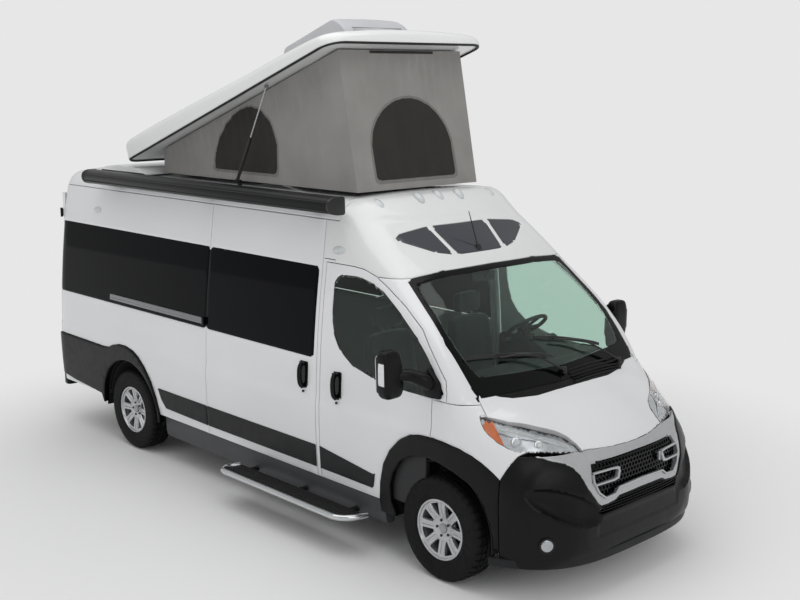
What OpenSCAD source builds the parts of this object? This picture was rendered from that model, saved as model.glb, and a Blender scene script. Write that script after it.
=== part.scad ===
// Camper van: a high-roof, front-drive panel van with a front-lifting pop-top roof.
// Sizes are in millimetres. +X is forward, +Y is the driver's side, +Z is up.
// The origin is on the ground under the middle of the van.
// Side outlines are given as [x, z] from the front axle, which `at_axle()` puts in place.

/* [Body] */
// Distance between the axles
wheelbase = 4035; // [3450:5:4400]
// Front axle to the foremost point of the bumper
front_overhang = 948; // [900:1:1000]
// Rear axle to the rearmost point of the bumper
rear_overhang = 1400; // [1300:5:1500]
// Half width of the body at its widest line
body_half = 1025; // [985:1:1060]
// Height of the roof skin above the ground, at the middle
roof_z = 2545; // [2450:5:2700]
// Height of the lowest edge of the body panels
sill_z = 430; // [400:1:450]
// Thickness of a side wall, a door or the roof with its lining
wall_t = 50; // [35:1:60]
// Thickness of the floor
floor_t = 40; // [25:1:60]
// Height of the seam between the side panels and the roof
roof_seam_z = 2385; // [2360:1:2400]

/* [Openings] */
// Gap between a moving panel and what frames it
door_gap = 6; // [5:0.5:9]
// Radius of a wheel arch opening
arch_r = 455; // [440:1:480]
// Width of the trim round a wheel arch
arch_trim_w = 125; // [90:1:140]
// Thickness of the moulded trim on the body sides
clad_t = 20; // [12:1:30]
// Thickness of a window pane
glass_t = 6; // [4:0.5:8]
// Depth of a window pane behind the outer face of its panel
glass_in = 8; // [4:1:20]
// Half width of the rear doors' opening
rear_opening_half = 900; // [860:1:915]
// Height of the rear doors' lower edge
rear_door_low = 545; // [535:1:600]
// Height of the rear doors' upper edge
rear_door_top = 2300; // [2200:5:2330]

/* [Wheels] */
// Outer diameter of a tyre
tyre_d = 744; // [700:1:760]
// Width of a tyre
tyre_w = 225; // [205:1:235]
// Diameter of the rim's bead seat
rim_d = 420; // [400:1:440]
// Half of the front track
front_track_half = 905; // [895:1:915]
// Half of the rear track
rear_track_half = 895; // [885:1:905]
// Radius of a stub axle
stub_r = 20; // [16:0.5:25]
// Radial running clearance of a hub on its stub axle
hub_clear = 0.05; // [0.02:0.01:0.1]
// Number of spokes on a rim
spoke_n = 8; // [6:1:10]

/* [Pop-top] */
// Angle of the raised roof above its closed position
lift_angle = 18.9; // [15:0.1:19]
// Distance of the roof's hinge line behind the front axle
hinge_back = 4300; // [4250:1:4350]
// Height of the roof's hinge line
hinge_z = 2600; // [2595:1:2640]
// Length of the raised roof from its hinge line
shell_len = 3187; // [3100:1:3200]
// Half width of the raised roof
shell_half = 835; // [800:1:850]
// Thickness of the raised roof's moulding
shell_t = 14; // [10:1:20]
// Half width of the canvas
tent_half = 650; // [600:1:660]
// Thickness of the canvas
tent_t = 6; // [4:0.5:10]
// Half width of the hatch under the canvas
hatch_half = 560; // [500:1:600]
// Radius of the raised roof's hinge pins
hinge_pin_r = 8; // [6:0.5:10]
// Radius of a gas strut's cylinder
strut_r = 14; // [12:0.5:16]
// Radius of a gas strut's rod
strut_rod_r = 6; // [5:0.5:8]

/* [Outside fittings] */
// Length of the awning's case
awning_len = 3570; // [3300:5:3700]
// Height of the awning's case
awning_h = 135; // [110:1:150]
// Depth of the awning's case
awning_d = 165; // [140:1:180]
// Length of the running board
step_len = 1480; // [1300:5:1600]
// Radius of the running board's tube
step_tube_r = 24; // [20:1:30]
// Overall width over the mirrors, halved
mirror_half = 1345; // [1300:1:1360]
// Side of the tow bar's square socket
hitch_bore = 51; // [50:1:52]
// Spacing of the rear plate's two holes
plate_pitch = 178; // [170:1:185]

/* [Hidden] */

RIGHT = -1;
LEFT = 1;
BIG = 9000;

front_axle_x = (wheelbase + rear_overhang - front_overhang) / 2;
rear_x = -wheelbase;
rear_face = -wheelbase - rear_overhang + 50;
hub_z = tyre_d / 2;
belt_y = body_half;
roof_drop = roof_z - 2545;

WHITE = [0.93, 0.93, 0.94];
BLACK = [0.08, 0.08, 0.09];
GREY = [0.55, 0.55, 0.57];
DARK = [0.22, 0.22, 0.24];
SILVER = [0.78, 0.79, 0.80];
CLEAR = [0.35, 0.45, 0.45, 0.5];
CANVAS = [0.45, 0.43, 0.43];

// ---- outline helpers ----

function unit(v) = v / norm(v);
function left_of(v) = [-v[1], v[0]];
// Moves every edge of an anticlockwise outline inwards by d
function inset(p, d) = [for (i = [0:len(p) - 1])
    let (a = p[(i + len(p) - 1) % len(p)], b = p[i], c = p[(i + 1) % len(p)],
        m = left_of(unit(b - a)), n = left_of(unit(c - b)))
    b + d * (m + n) / (1 + m * n)];
function flip(p) = [for (i = [len(p) - 1:-1:0]) [-p[i][0], p[i][1]]];
function arc(c, r, a0, a1, n = 12) = [for (i = [0:n]) let (a = a0 + (a1 - a0) * i / n)
    c + r * [cos(a), sin(a)]];

module at_axle() translate([front_axle_x, 0, 0]) children();
// A side outline [x, z], extruded across the van from y0 to y1
module side_prism(outline, y0 = -BIG, y1 = BIG)
    translate([0, y1, 0]) rotate([90, 0, 0]) linear_extrude(y1 - y0) polygon(outline);
// A front outline [y, z], extruded along the van from x0 to x1
module cross_prism(outline, x0 = -BIG, x1 = BIG)
    translate([x0, 0, 0]) rotate([90, 0, 90]) linear_extrude(x1 - x0) polygon(outline);
// A box from its lowest corner to its highest
module block(lo, hi) translate(lo) cube(hi - lo);
// A round bar along Y
module bar_y(x, z, r, y0, y1)
    translate([x, y0, z]) rotate([-90, 0, 0]) cylinder(h = y1 - y0, r = r, $fn = 48);
// A round bar between two points
module bar(a, b, r) {
    d = b - a;
    translate(a) rotate([0, acos(d[2] / norm(d)), atan2(d[1], d[0])])
        cylinder(h = norm(d), r = r, $fn = 32);
}
// One half of a pair, on the side given
module on_side(side) if (side == LEFT) children(); else mirror([0, 1, 0]) children();

// ---- body shape ----

function half_section(low) = [[belt_y - 17, low], [belt_y - 3, 700], [belt_y, 1000], [belt_y - 10, 1300],
    [belt_y - 35, 1600], [belt_y - 75, 1950 + roof_drop], [belt_y - 110, 2200 + roof_drop],
    [belt_y - 140, roof_seam_z + roof_drop], [belt_y - 175, 2450 + roof_drop],
    [belt_y - 235, 2495 + roof_drop], [belt_y - 330, 2522 + roof_drop]];
function section(low) = let (h = half_section(low)) concat(h, [[0, roof_z]], flip(h));
function profile(low) = [[rear_face, low], [905, low], [900, 700], [860, 910], [800, 985], [700, 1055],
    [500, 1175], [300, 1275], [265, 1290], [130, 1430], [-140, 1735], [-512, 2035], [-562, 2120],
    [-810, 2330 + roof_drop / 2], [-980, roof_z - 70], [-1060, roof_z - 20], [-1160, roof_z + 15],
    [rear_face + 150, roof_z + 15], [rear_face + 65, roof_z - 35], [rear_face + 15, roof_z - 105],
    [rear_face, roof_z - 195]];
half_plan = [[rear_face, belt_y - 125], [rear_face + 15, belt_y - 65], [rear_face + 50, belt_y - 20],
    [rear_face + 115, belt_y + 15], [0, belt_y + 15], [250, belt_y - 10], [450, belt_y - 40],
    [600, belt_y - 95], [690, belt_y - 165], [770, belt_y - 305], [830, 520], [865, 300]];
plan = concat([for (p = half_plan) [p[0], -p[1]]], [for (i = [len(half_plan) - 1:-1:0]) half_plan[i]]);

// The body's outer form, moved inwards by d, with its lower edge at low
module form(d, low) intersection() {
    cross_prism(inset(section(low), d));
    side_prism(inset(profile(low), d));
    linear_extrude(BIG) polygon(inset(plan, d));
}
// The layer of the body between depths a and b, open below
module layer(a, b) difference() {
    form(a, a > 0 ? 300 : sill_z);
    form(b, 200);
}
module wall() layer(0, wall_t);
// The same wall on one side only
module side_wall(side) intersection() {
    wall();
    block([-BIG, side == LEFT ? belt_y - 325 : -BIG, 0], [BIG, side == LEFT ? BIG : 325 - belt_y, BIG]);
}
module half_space(side) block([-BIG, side == LEFT ? 0 : -BIG, -10], [BIG, side == LEFT ? BIG : 0, BIG]);

// ---- outlines of the side ----

cab_back_x = -1258;
pillar_b_x = -1300;
slide_back_x = -2760;
door_front_x = -80;
door_low = sill_z + 6;
arch_trim_r = arch_r + arch_trim_w;
module wheel_cut(x, r) bar_y(x, hub_z, r, -BIG / 2, BIG / 2);

// Upper edge of a front door, from front to back
door_top = [[60, 1282], [60, 1332], [42, 1422], [-221, 1726], [-400, 1850], [-575, 1941], [-760, 2020],
    [-950, 2060], [cab_back_x, 2080]];
door_outline = concat([[cab_back_x, door_low], [door_front_x, door_low], [door_front_x, 1282]], door_top);
door_frame_outline = inset(door_outline, -door_gap);
// The window of a front door
cab_window = [[-1085, 1700], [-1060, 1530], [-1010, 1420], [-900, 1335], [-640, 1300], [-60, 1335],
    [-30, 1375], [-130, 1500], [-330, 1725], [-530, 1860], [-690, 1935], [-820, 1975], [-1060, 2000],
    [-1090, 1980]];
// The black glass of the side: along the rear quarter and along the sliding door
rear_window = [[rear_face + 75, 1390], [rear_face + 110, 1352], [slide_back_x - 40, 1352],
    [slide_back_x - 40, 2028], [rear_face + 110, 2028], [rear_face + 75, 1990]];
slide_window = [[slide_back_x + 40, 1352], [pillar_b_x - 75, 1352], [pillar_b_x - 45, 1390],
    [pillar_b_x - 45, 1990], [pillar_b_x - 75, 2028], [slide_back_x + 40, 2028]];

// ---- shell of the body ----

module cladding_region() {
    for (x = [0, rear_x]) difference() {
        wheel_cut(x, arch_trim_r);
        wheel_cut(x, arch_r);
    }
}
module hitch_space() block([rear_face - 60, -60, 330], [rear_face + 200, 60, 430]);

module wheel_house(x, top_x) {
    difference() {
        intersection() {
            bar_y(x, hub_z, arch_r + 6, 0, belt_y - 66);
            block([x - arch_r - 10, 640, sill_z], [top_x, BIG, hub_z + 528]);
        }
        bar_y(x, hub_z, arch_r, 652, BIG);
    }
}
module floor_pan() color(GREY) at_axle() difference() {
    union() {
        intersection() {
            form(wall_t, 200);
            difference() {
                union() {
                    block([rear_face, -BIG, sill_z], [-620, BIG, sill_z + floor_t]);
                    block([-620, -560, sill_z], [-60, 560, sill_z + floor_t]);
                }
                for (s = [RIGHT, LEFT]) on_side(s) bar_y(rear_x, hub_z, arch_r + 3, 646, BIG);
            }
        }
        intersection() {
            wall();
            block([rear_face, -rear_opening_half, sill_z], [rear_face + wall_t, rear_opening_half,
                rear_door_low - door_gap]);
        }
        for (s = [RIGHT, LEFT]) on_side(s) wheel_house(rear_x, rear_x + arch_r + 10);
    }
    for (s = [RIGHT, LEFT]) on_side(s) bar_y(rear_x, hub_z, arch_r, 652, BIG);
}

lamp_low = 925;
lamp_top = 1450;
module tail_lamp_space(side) on_side(side)
    block([rear_face - 10, rear_opening_half + 18, lamp_low], [rear_face + 70, BIG, lamp_top]);
module rear_opening() block([rear_face - 100, -rear_opening_half, sill_z - 10],
    [rear_face + 160, rear_opening_half, rear_door_top + door_gap]);
module body_side(side, x1) difference() {
    intersection() {
        side_wall(side);
        block([rear_face - 5, -BIG, sill_z], [x1, BIG, roof_seam_z]);
    }
    rear_opening();
    block([rear_face - 5, -rear_opening_half, 0], [rear_face + wall_t + 5, rear_opening_half, 3000]);
    wheel_cut(rear_x, arch_r);
    tail_lamp_space(side);
}
module side_wall_right() color(WHITE) at_axle() difference() {
    body_side(RIGHT, slide_back_x);
    side_prism(rear_window, -BIG, -600);
}
module side_wall_left() color(WHITE) at_axle() difference() {
    body_side(LEFT, pillar_b_x);
    side_prism(rear_window, 600, BIG);
    side_prism(slide_window, 600, BIG);
}
module sliding_door() color(WHITE) at_axle() difference() {
    intersection() {
        side_wall(RIGHT);
        block([slide_back_x, -BIG, sill_z], [pillar_b_x, BIG, roof_seam_z]);
    }
    side_prism(slide_window, -BIG, -600);
}

cap_seam_x = -1160;
module roof() color(WHITE) at_axle() difference() {
    union() {
        difference() {
            intersection() {
                wall();
                block([rear_face - 5, -BIG, rear_door_top + door_gap], [cap_seam_x, BIG, BIG]);
            }
            difference() {
                block([rear_face - 50, -BIG, 0], [BIG, BIG, roof_seam_z]);
                block([rear_face - 50, -rear_opening_half, 0], [rear_face + wall_t, rear_opening_half, 3000]);
            }
            block([pillar_b_x, -BIG, 0], [BIG, BIG, roof_seam_z + 0.01]);
        }
        hatch_curb();
    }
    block([hatch_back_x, -hatch_half, 2000], [hatch_front_x, hatch_half, 3000]);
}
tent_back = -hinge_back + 420;
tent_front_low = -hinge_back + shell_len - 109;
hatch_back_x = -hinge_back + 1000;
hatch_front_x = tent_front_low - 178;
curb_top = roof_z + 22;
module hatch_curb() difference() {
    block([tent_back - 20, -tent_half - 30, roof_z - 45], [tent_front_low + 32, tent_half + 30, curb_top]);
    form(wall_t / 2, 200);
    block([hatch_back_x, -hatch_half, 2000], [hatch_front_x, hatch_half, 3000]);
}

// Line between the front cap and the frame of the cab
cap_line = [[pillar_b_x, 2150], [-760, 2150], [-640, 2035], [0, 2035]];
sky_windows = [
    [[-240, 2135], [240, 2135], [290, 2325], [-290, 2325]],
    [[285, 2140], [420, 2165], [660, 2255], [665, 2275], [600, 2290], [335, 2325]],
    [[-285, 2140], [-335, 2325], [-600, 2290], [-665, 2275], [-660, 2255], [-420, 2165]]];
module sky_openings() for (w = sky_windows) cross_prism(w, -1000, -400);
module nose_cap() color(WHITE) at_axle() difference() {
    intersection() {
        wall();
        side_prism(concat(cap_line, [[0, BIG], [pillar_b_x, BIG]]));
    }
    block([pillar_b_x - 1, -BIG, roof_seam_z], [cap_seam_x, BIG, BIG]);
    sky_openings();
}

glass_low = 1322;
glass_top = 2012;
glass_half = belt_y - 163;
cowl_front_x = 268;
windshield_outline = [[-glass_half, glass_low + 23], [-glass_half, glass_low], [glass_half, glass_low],
    [glass_half, glass_low + 23], [glass_half - 44, glass_top], [44 - glass_half, glass_top]];
module cab_frame() color(WHITE) at_axle() difference() {
    intersection() {
        wall();
        union() {
            block([pillar_b_x, -BIG, sill_z], [cab_back_x - 2, BIG, 2150]);
            difference() {
                side_prism([[pillar_b_x, 1283], [cowl_front_x, 1283], [cowl_front_x, 2035], [-640, 2035],
                    [-760, 2150], [pillar_b_x, 2150]]);
                side_prism(door_frame_outline);
            }
        }
    }
    cross_prism(windshield_outline, -760, 400);
    block([0, -glass_half, 1200], [400, glass_half, glass_low]);
}
module windshield() color(CLEAR) at_axle() intersection() {
    layer(glass_in, glass_in + glass_t);
    cross_prism(windshield_outline, -760, 400);
    block([-700, -BIG, 0], [400, BIG, 2035]);
}
module cowl() color(BLACK) at_axle() intersection() {
    wall();
    block([120, -glass_half, 1230], [cowl_front_x, glass_half, glass_low]);
}
wiper_r = 7;
module wipers() color(BLACK) at_axle() {
    for (y = [90, 640]) {
        foot = [250, y, 1322];
        elbow = [207, y - 10, 1392];
        tip = [40, y - 640, 1552];
        bar(foot, elbow, 10);
        bar(elbow, tip, wiper_r);
    }
}

hood_line = [[cowl_front_x + door_gap, 1208 + door_gap], [312, 1208 + door_gap], [560, 1105], [796, 990]];
module hood() color(WHITE) at_axle() intersection() {
    wall();
    side_prism(concat(hood_line, [[830, 1060], [500, 1300], [cowl_front_x + door_gap, 1400]]));
}
module front_fenders() color(WHITE) at_axle() difference() {
    intersection() {
        wall();
        union() {
            side_prism([[door_front_x + door_gap, 600], [470, 600], [490, 850], [628, 1035], [450, 1105],
                [296, 1203], [cowl_front_x, 1208], [cowl_front_x, 1230], [165, 1230], [165, 1283],
                [door_front_x + door_gap, 1276]]);
            difference() {
                block([-750, -BIG, sill_z], [door_front_x + door_gap, BIG, 1276]);
                difference() {
                    block([-BIG, -BIG, 0], [BIG, BIG, BIG]);
                    wheel_cut(0, arch_trim_r);
                }
            }
        }
    }
    wheel_cut(0, arch_r);
    block([-BIG, 325 - belt_y, 0], [BIG, belt_y - 325, BIG]);
}
module headlamps() color([0.8, 0.82, 0.84]) at_axle() intersection() {
    layer(4, 60);
    side_prism([[300, 1206], [452, 1109], [630, 1039], [778, 980], [786, 985], [556, 1096], [308, 1206]]);
    union() for (s = [RIGHT, LEFT]) on_side(s) block([0, 470, 0], [BIG, BIG, BIG]);
}

// ---- front bumper and grille ----

half_bumper = [[-100, belt_y + 15], [420, belt_y - 3], [520, belt_y - 19], [640, belt_y - 75],
    [780, belt_y - 175], [870, belt_y - 325], [925, 500], [front_overhang - 3, 300]];
bumper_plan = concat([for (p = half_bumper) [p[0], -p[1]]], [[front_overhang, -120], [front_overhang, 120]],
    [for (i = [len(half_bumper) - 1:-1:0]) half_bumper[i]]);
function bumper_profile(low) = [[-100, low], [880, low], [930, 330], [front_overhang, 400],
    [front_overhang, 590], [926, 645], [905, 740], [872, 920], [806, 990], [640, 1090], [300, 1260],
    [-100, 1260]];
bumper_low = 262;
bumper_t = 36;
module bumper_form(d, low) intersection() {
    side_prism(inset(bumper_profile(low), d));
    linear_extrude(BIG) polygon(inset(bumper_plan, d));
}
module bumper_wall() difference() {
    bumper_form(0, bumper_low);
    bumper_form(bumper_t, 100);
}
half_grille = [[425, 640], [520, 760], [600, 925], [610, 990]];
grille_outline = concat(half_grille, flip(half_grille));
module front_bumper() color(BLACK) at_axle() difference() {
    intersection() {
        bumper_wall();
        side_prism([[440, 262], [BIG, 262], [BIG, 1000], [783, 975], [632, 1030], [497, 845], [474, 600]]);
    }
    wheel_cut(0, arch_trim_r);
    cross_prism(grille_outline, 500, 1200);
}
module grille() color(SILVER) at_axle() difference() {
    intersection() {
        bumper_wall();
        cross_prism(grille_outline, 700, 1200);
        block([0, -1000, 0], [BIG, 1000, 972]);
    }
    for (z = [735, 800, 865]) block([700, -400, z - 20], [1000, 400, z + 20]);
}

// ---- lamps, rear bumper and lower trim ----

module tail_lamps() color([0.7, 0.05, 0.06]) at_axle() intersection() {
    wall();
    union() for (s = [RIGHT, LEFT]) tail_lamp_space(s);
}
rear_bumper_top = 525;
module rear_bumper() color(BLACK) at_axle() difference() {
    linear_extrude(rear_bumper_top) polygon([[rear_face, 25 - belt_y], [rear_face, belt_y - 25],
        [rear_face - 30, belt_y - 35], [rear_face - 50, belt_y - 95], [rear_face - 50, 95 - belt_y],
        [rear_face - 30, 35 - belt_y]]);
    block([-BIG, -BIG, 0], [BIG, BIG, 365]);
    hitch_space();
    for (y = [-plate_pitch / 2, plate_pitch / 2])
        translate([rear_face - 60, y, 480]) rotate([0, 90, 0]) cylinder(h = 100, r = 3, $fn = 24);
}
module hitch_receiver() color(BLACK) at_axle() difference() {
    union() {
        block([rear_face - 45, -33, 345], [rear_face + 160, 33, 411]);
        block([rear_face + 110, -495, 352], [rear_face + 160, 495, 402]);
    }
    block([rear_face - 60, -hitch_bore / 2, 378 - hitch_bore / 2],
        [rear_face + 100, hitch_bore / 2, 378 + hitch_bore / 2]);
}

// A shell that lies on the outside of the body, as thick as the trim
module clad_shell() difference() {
    form(-clad_t, 300);
    form(0, 200);
}
rocker_low = 248;
rocker_y = belt_y - 40;
rocker_in = rocker_y - 80;
module lower_cladding() color(BLACK) at_axle() {
    difference() {
        intersection() {
            clad_shell();
            union() {
                cladding_region();
                side_prism([[rear_face - 30, rear_bumper_top + 1], [rear_face + 1, rear_bumper_top + 1],
                    [rear_face + 1, 490], [rear_x - 300, sill_z], [rear_x - 300, 930],
                    [rear_face - 30, 918]]);
            }
            block([-BIG, -BIG, sill_z], [430, BIG, 1100]);
        }
        block([rear_face - 100, -rear_opening_half - 20, 0], [rear_face + 100, rear_opening_half + 20, 1200]);
        for (x = [0, rear_x]) wheel_cut(x, arch_r);
        block([rear_face + 60, 225 - belt_y, 0], [BIG, belt_y - 225, BIG]);
        side_prism([[430, 600], [600, 600], [600, 1200], [497, 1200], [474, 600]]);
    }
    for (s = [RIGHT, LEFT]) on_side(s) {
        block([rear_x + 560, rocker_in, rocker_low], [-560, rocker_y, sill_z]);
        block([rear_face + 80, rocker_in, sill_z - 30], [rear_x - 560, rocker_y, sill_z]);
    }
}

// ---- glass in the fixed panels ----

module pane(outline, side) intersection() {
    layer(glass_in, glass_in + glass_t);
    side_prism(outline, side == LEFT ? 600 : -BIG, side == LEFT ? BIG : -600);
}
module fixed_windows() color(BLACK) at_axle() {
    for (s = [RIGHT, LEFT]) {
        pane(rear_window, s);
        pane(slide_window, s);
    }
    intersection() {
        layer(glass_in, glass_in + glass_t);
        sky_openings();
    }
}

// ---- front doors ----

door_hinge_x = door_front_x + 30;
door_hinge_in = 25;
door_hinge_r = 40;
module front_door(side) color(WHITE) at_axle() difference() {
    intersection() {
        side_wall(side);
        side_prism(door_outline);
    }
    wheel_cut(0, arch_trim_r + 2 * door_gap);
    side_prism(cab_window, side == LEFT ? 600 : -BIG, side == LEFT ? BIG : -600);
    // the front edge is hollowed round the hinge line, so it clears the fender as it swings
    on_side(side) translate([door_hinge_x, belt_y - door_hinge_in, 0]) cylinder(r = door_hinge_r, h = 1270);
}
module front_door_right() front_door(RIGHT);
module front_door_left() front_door(LEFT);
module front_door_glass_right() color(CLEAR) at_axle() pane(cab_window, RIGHT);
module front_door_glass_left() color(CLEAR) at_axle() pane(cab_window, LEFT);

mirror_z = 1468;
mirror_h = 330;
mirror_w = 190;
function round_box(lo, hi, r) = concat(arc([lo[0] + r, lo[1] + r], r, 180, 270, 4),
    arc([hi[0] - r, lo[1] + r], r, 270, 360, 4), arc([hi[0] - r, hi[1] - r], r, 0, 90, 4),
    arc([lo[0] + r, hi[1] - r], r, 90, 180, 4));
module mirror_unit(side) color(BLACK) at_axle() on_side(side) {
    // foot on the door
    difference() {
        side_prism([[-150, 1300], [30, 1300], [30, 1345], [-10, 1430], [-90, 1510], [-150, 1510]],
            belt_y - 35, belt_y + 12);
        form(0, 200);
    }
    // arm
    translate([0, 0, 1370]) linear_extrude(110)
        polygon([[-150, belt_y + 2], [-40, belt_y + 2], [-170, mirror_half - mirror_w + 10],
            [-250, mirror_half - mirror_w + 10]]);
    // head
    cross_prism(round_box([mirror_half - mirror_w, mirror_z - mirror_h / 2],
        [mirror_half, mirror_z + mirror_h / 2], 45), -285, -175);
}
module mirror_right() mirror_unit(RIGHT);
module mirror_left() mirror_unit(LEFT);

// ---- rear doors ----

rear_glass_half = rear_opening_half - 100;
rear_window_yz = [[110, 1352], [rear_glass_half - 40, 1352], [rear_glass_half, 1392],
    [rear_glass_half, 1970], [rear_glass_half - 40, 2010], [110, 2010], [80, 1980], [80, 1382]];
module rear_door(side) color(WHITE) at_axle() difference() {
    intersection() {
        wall();
        block([rear_face - 1, 0, rear_door_low], [rear_face + wall_t, BIG, rear_door_top]);
        block([-BIG, door_gap / 2, 0], [BIG, rear_opening_half - door_gap, BIG]);
        half_space(LEFT);
    }
    cross_prism(rear_window_yz, rear_face - 50, rear_face + 200);
}
module rear_door_right() mirror([0, 1, 0]) rear_door(LEFT);
module rear_door_left() rear_door(LEFT);
module rear_glass() color(BLACK) at_axle() cross_prism(rear_window_yz, rear_face + glass_in,
    rear_face + glass_in + glass_t);
module rear_door_glass_right() mirror([0, 1, 0]) rear_glass();
module rear_door_glass_left() rear_glass();

// ---- awning and running board ----

awning_front_x = -1030;
awning_z = roof_z - 103;
module awning() color(BLACK) at_axle() {
    translate([awning_front_x - awning_len, 7 - belt_y, awning_z])
        rotate([90, 0, 90]) linear_extrude(awning_len) polygon(concat(
            arc([-awning_d / 2 + 22, 40], 40, 180, 270, 6), arc([awning_d / 2 - 22, 22], 22, 270, 360, 4),
            arc([awning_d / 2 - 30, awning_h - 30], 30, 0, 90, 5),
            arc([-awning_d / 2 + 32, awning_h - 50], 50, 90, 180, 6)));
    for (i = [0:3])
        difference() {
            translate([awning_front_x - awning_len + 300 + i * (awning_len - 640) / 3, 0, 0])
                block([-30, 65 - belt_y, awning_z + 4], [30, 195 - belt_y, awning_z + 58]);
            form(0, 200);
        }
}

step_z = 300;
step_out = belt_y + 237;
step_front_x = -760;
module running_board() color(SILVER) at_axle() {
    y0 = belt_y + 35;
    bar([step_front_x - step_len, -step_out, step_z], [step_front_x, -step_out, step_z], step_tube_r);
    bar([step_front_x, -step_out, step_z], [step_front_x + 75, -y0, step_z], step_tube_r);
    translate([step_front_x, -step_out, step_z]) sphere(r = step_tube_r, $fn = 48);
    block([step_front_x - step_len + 10, -step_out + step_tube_r / 2, step_z - 12],
        [step_front_x - 20, -y0 + 10, step_z + 12]);
    for (x = [step_front_x - step_len + 120, step_front_x - 720, step_front_x - 120])
        block([x - 25, -y0, step_z - 20], [x + 25, -rocker_y, step_z + 10]);
}

// ---- pop-top roof ----

module at_hinge() translate([-hinge_back, 0, hinge_z]) rotate([0, -lift_angle, 0]) children();
shell_low = 42;
shell_side = [[30, shell_low], [shell_len, shell_low], [shell_len - 4, 82], [shell_len - 90, 150],
    [shell_len - 290, 195], [2000, 218], [294, 265], [80, 252], [30, 205]];
shell_cross = [[shell_half, -228], [shell_half, 160], [shell_half - 40, 200], [shell_half - 200, 244]];
crown_tilt = 2.1;
shell_corner = 110;
module shell_form(d) intersection() {
    side_prism(inset([for (p = shell_side) [p[0], p[1] - (d > 0 && p[1] == shell_low ? 60 : 0)]], d));
    rotate([0, crown_tilt, 0]) cross_prism(inset(concat(shell_cross, [[0, 262]], flip(shell_cross)), d));
    translate([0, 0, -300]) linear_extrude(900) polygon(inset(concat(
        arc([30 + shell_corner, -shell_half + shell_corner], shell_corner, 180, 270, 5),
        arc([shell_len - shell_corner, -shell_half + shell_corner], shell_corner, 270, 360, 5),
        arc([shell_len - shell_corner, shell_half - shell_corner], shell_corner, 0, 90, 5),
        arc([30 + shell_corner, shell_half - shell_corner], shell_corner, 90, 180, 5)), d));
}
hinge_y = shell_half - 75;
module poptop_shell() color(WHITE) at_axle() at_hinge() {
    difference() {
        union() {
            difference() {
                shell_form(0);
                shell_form(shell_t);
            }
            for (s = [RIGHT, LEFT]) on_side(s) {
                block([-14, hinge_y - 20, -14], [60, hinge_y + 20, 60]);
                block([20, hinge_y - 20, -14], [140, hinge_y + 20, 120]);
                strut_eye_block();
            }
        }
        for (s = [RIGHT, LEFT]) on_side(s) {
            bar_y(0, 0, hinge_pin_r + 0.1, hinge_y - 40, hinge_y + 40);
            block([-40, hinge_y - 7, -40], [20, hinge_y + 7, 40]);
        }
    }
}
module hinge_brackets() color(BLACK) at_axle() for (s = [RIGHT, LEFT]) on_side(s) {
    difference() {
        union() {
            block([-hinge_back - 18, hinge_y - 6, roof_z - 60], [-hinge_back + 12, hinge_y + 6, hinge_z + 8]);
            block([-hinge_back - 60, hinge_y - 30, roof_z - 60],
                [-hinge_back + 60, hinge_y + 30, roof_z - 28]);
        }
        form(0, 200);
    }
    bar_y(-hinge_back, hinge_z, hinge_pin_r, hinge_y - 19, hinge_y + 19);
    strut_foot();
}

// A gas strut: its foot on the roof and its head under the raised roof
strut_y = shell_half - 90;
strut_foot_x = -hinge_back + 1680;
strut_foot_z = roof_z + 27;
strut_head_u = 2240;
strut_head_v = 22;
strut_pin_r = 5;
cyl_len = 410;
rod_len = 470;
function lifted(u, v) = [-hinge_back + u * cos(lift_angle) - v * sin(lift_angle),
    hinge_z + u * sin(lift_angle) + v * cos(lift_angle)];
strut_head = lifted(strut_head_u, strut_head_v);
strut_vec = strut_head - [strut_foot_x, strut_foot_z];
strut_open = norm(strut_vec);
strut_tilt = atan2(strut_vec[1], strut_vec[0]);
module at_strut() translate([strut_foot_x, 0, strut_foot_z]) rotate([0, -strut_tilt, 0]) children();
module strut_foot() {
    difference() {
        block([strut_foot_x - 22, strut_y - 30, roof_z - 80],
            [strut_foot_x + 22, strut_y - 20, strut_foot_z + 12]);
        form(0, 200);
    }
    bar_y(strut_foot_x, strut_foot_z, strut_pin_r, strut_y - 25, strut_y + 14);
}
module strut_eye_block() {
    bar_y(strut_head_u, strut_head_v, strut_pin_r, strut_y - 14, shell_half - shell_t + 4);
    block([strut_head_u - 20, shell_half - shell_t - 10, strut_head_v - 12],
        [strut_head_u + 20, shell_half - shell_t + 2, 80]);
}
module strut_cylinders() color(BLACK) at_axle() at_strut() for (s = [RIGHT, LEFT]) on_side(s)
    difference() {
        union() {
            translate([18, strut_y, 0]) rotate([0, 90, 0]) cylinder(h = cyl_len - 18, r = strut_r, $fn = 48);
            bar_y(0, 0, 20, strut_y - 10, strut_y + 10);
        }
        bar_y(0, 0, strut_pin_r + 0.1, strut_y - 30, strut_y + 30);
        translate([35, strut_y, 0]) rotate([0, 90, 0]) cylinder(h = cyl_len, r = strut_rod_r + 2, $fn = 48);
    }
module strut_rods() color(SILVER) at_axle() at_strut() for (s = [RIGHT, LEFT]) on_side(s)
    difference() {
        union() {
            translate([strut_open - rod_len, strut_y, 0]) rotate([0, 90, 0])
                cylinder(h = rod_len - 14, r = strut_rod_r, $fn = 48);
            bar_y(strut_open, 0, 18, strut_y - 8, strut_y + 8);
        }
        bar_y(strut_open, 0, strut_pin_r + 3, strut_y - 30, strut_y + 30);
    }

ac_base = 236;
module air_conditioner() color(GREY) at_axle() at_hinge() {
    hull() {
        block([shell_len - 1197, -345, ac_base - 46], [shell_len - 337, 345, ac_base + 40]);
        block([shell_len - 1127, -300, ac_base + 40], [shell_len - 457, 300, ac_base + 175]);
    }
}

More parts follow.
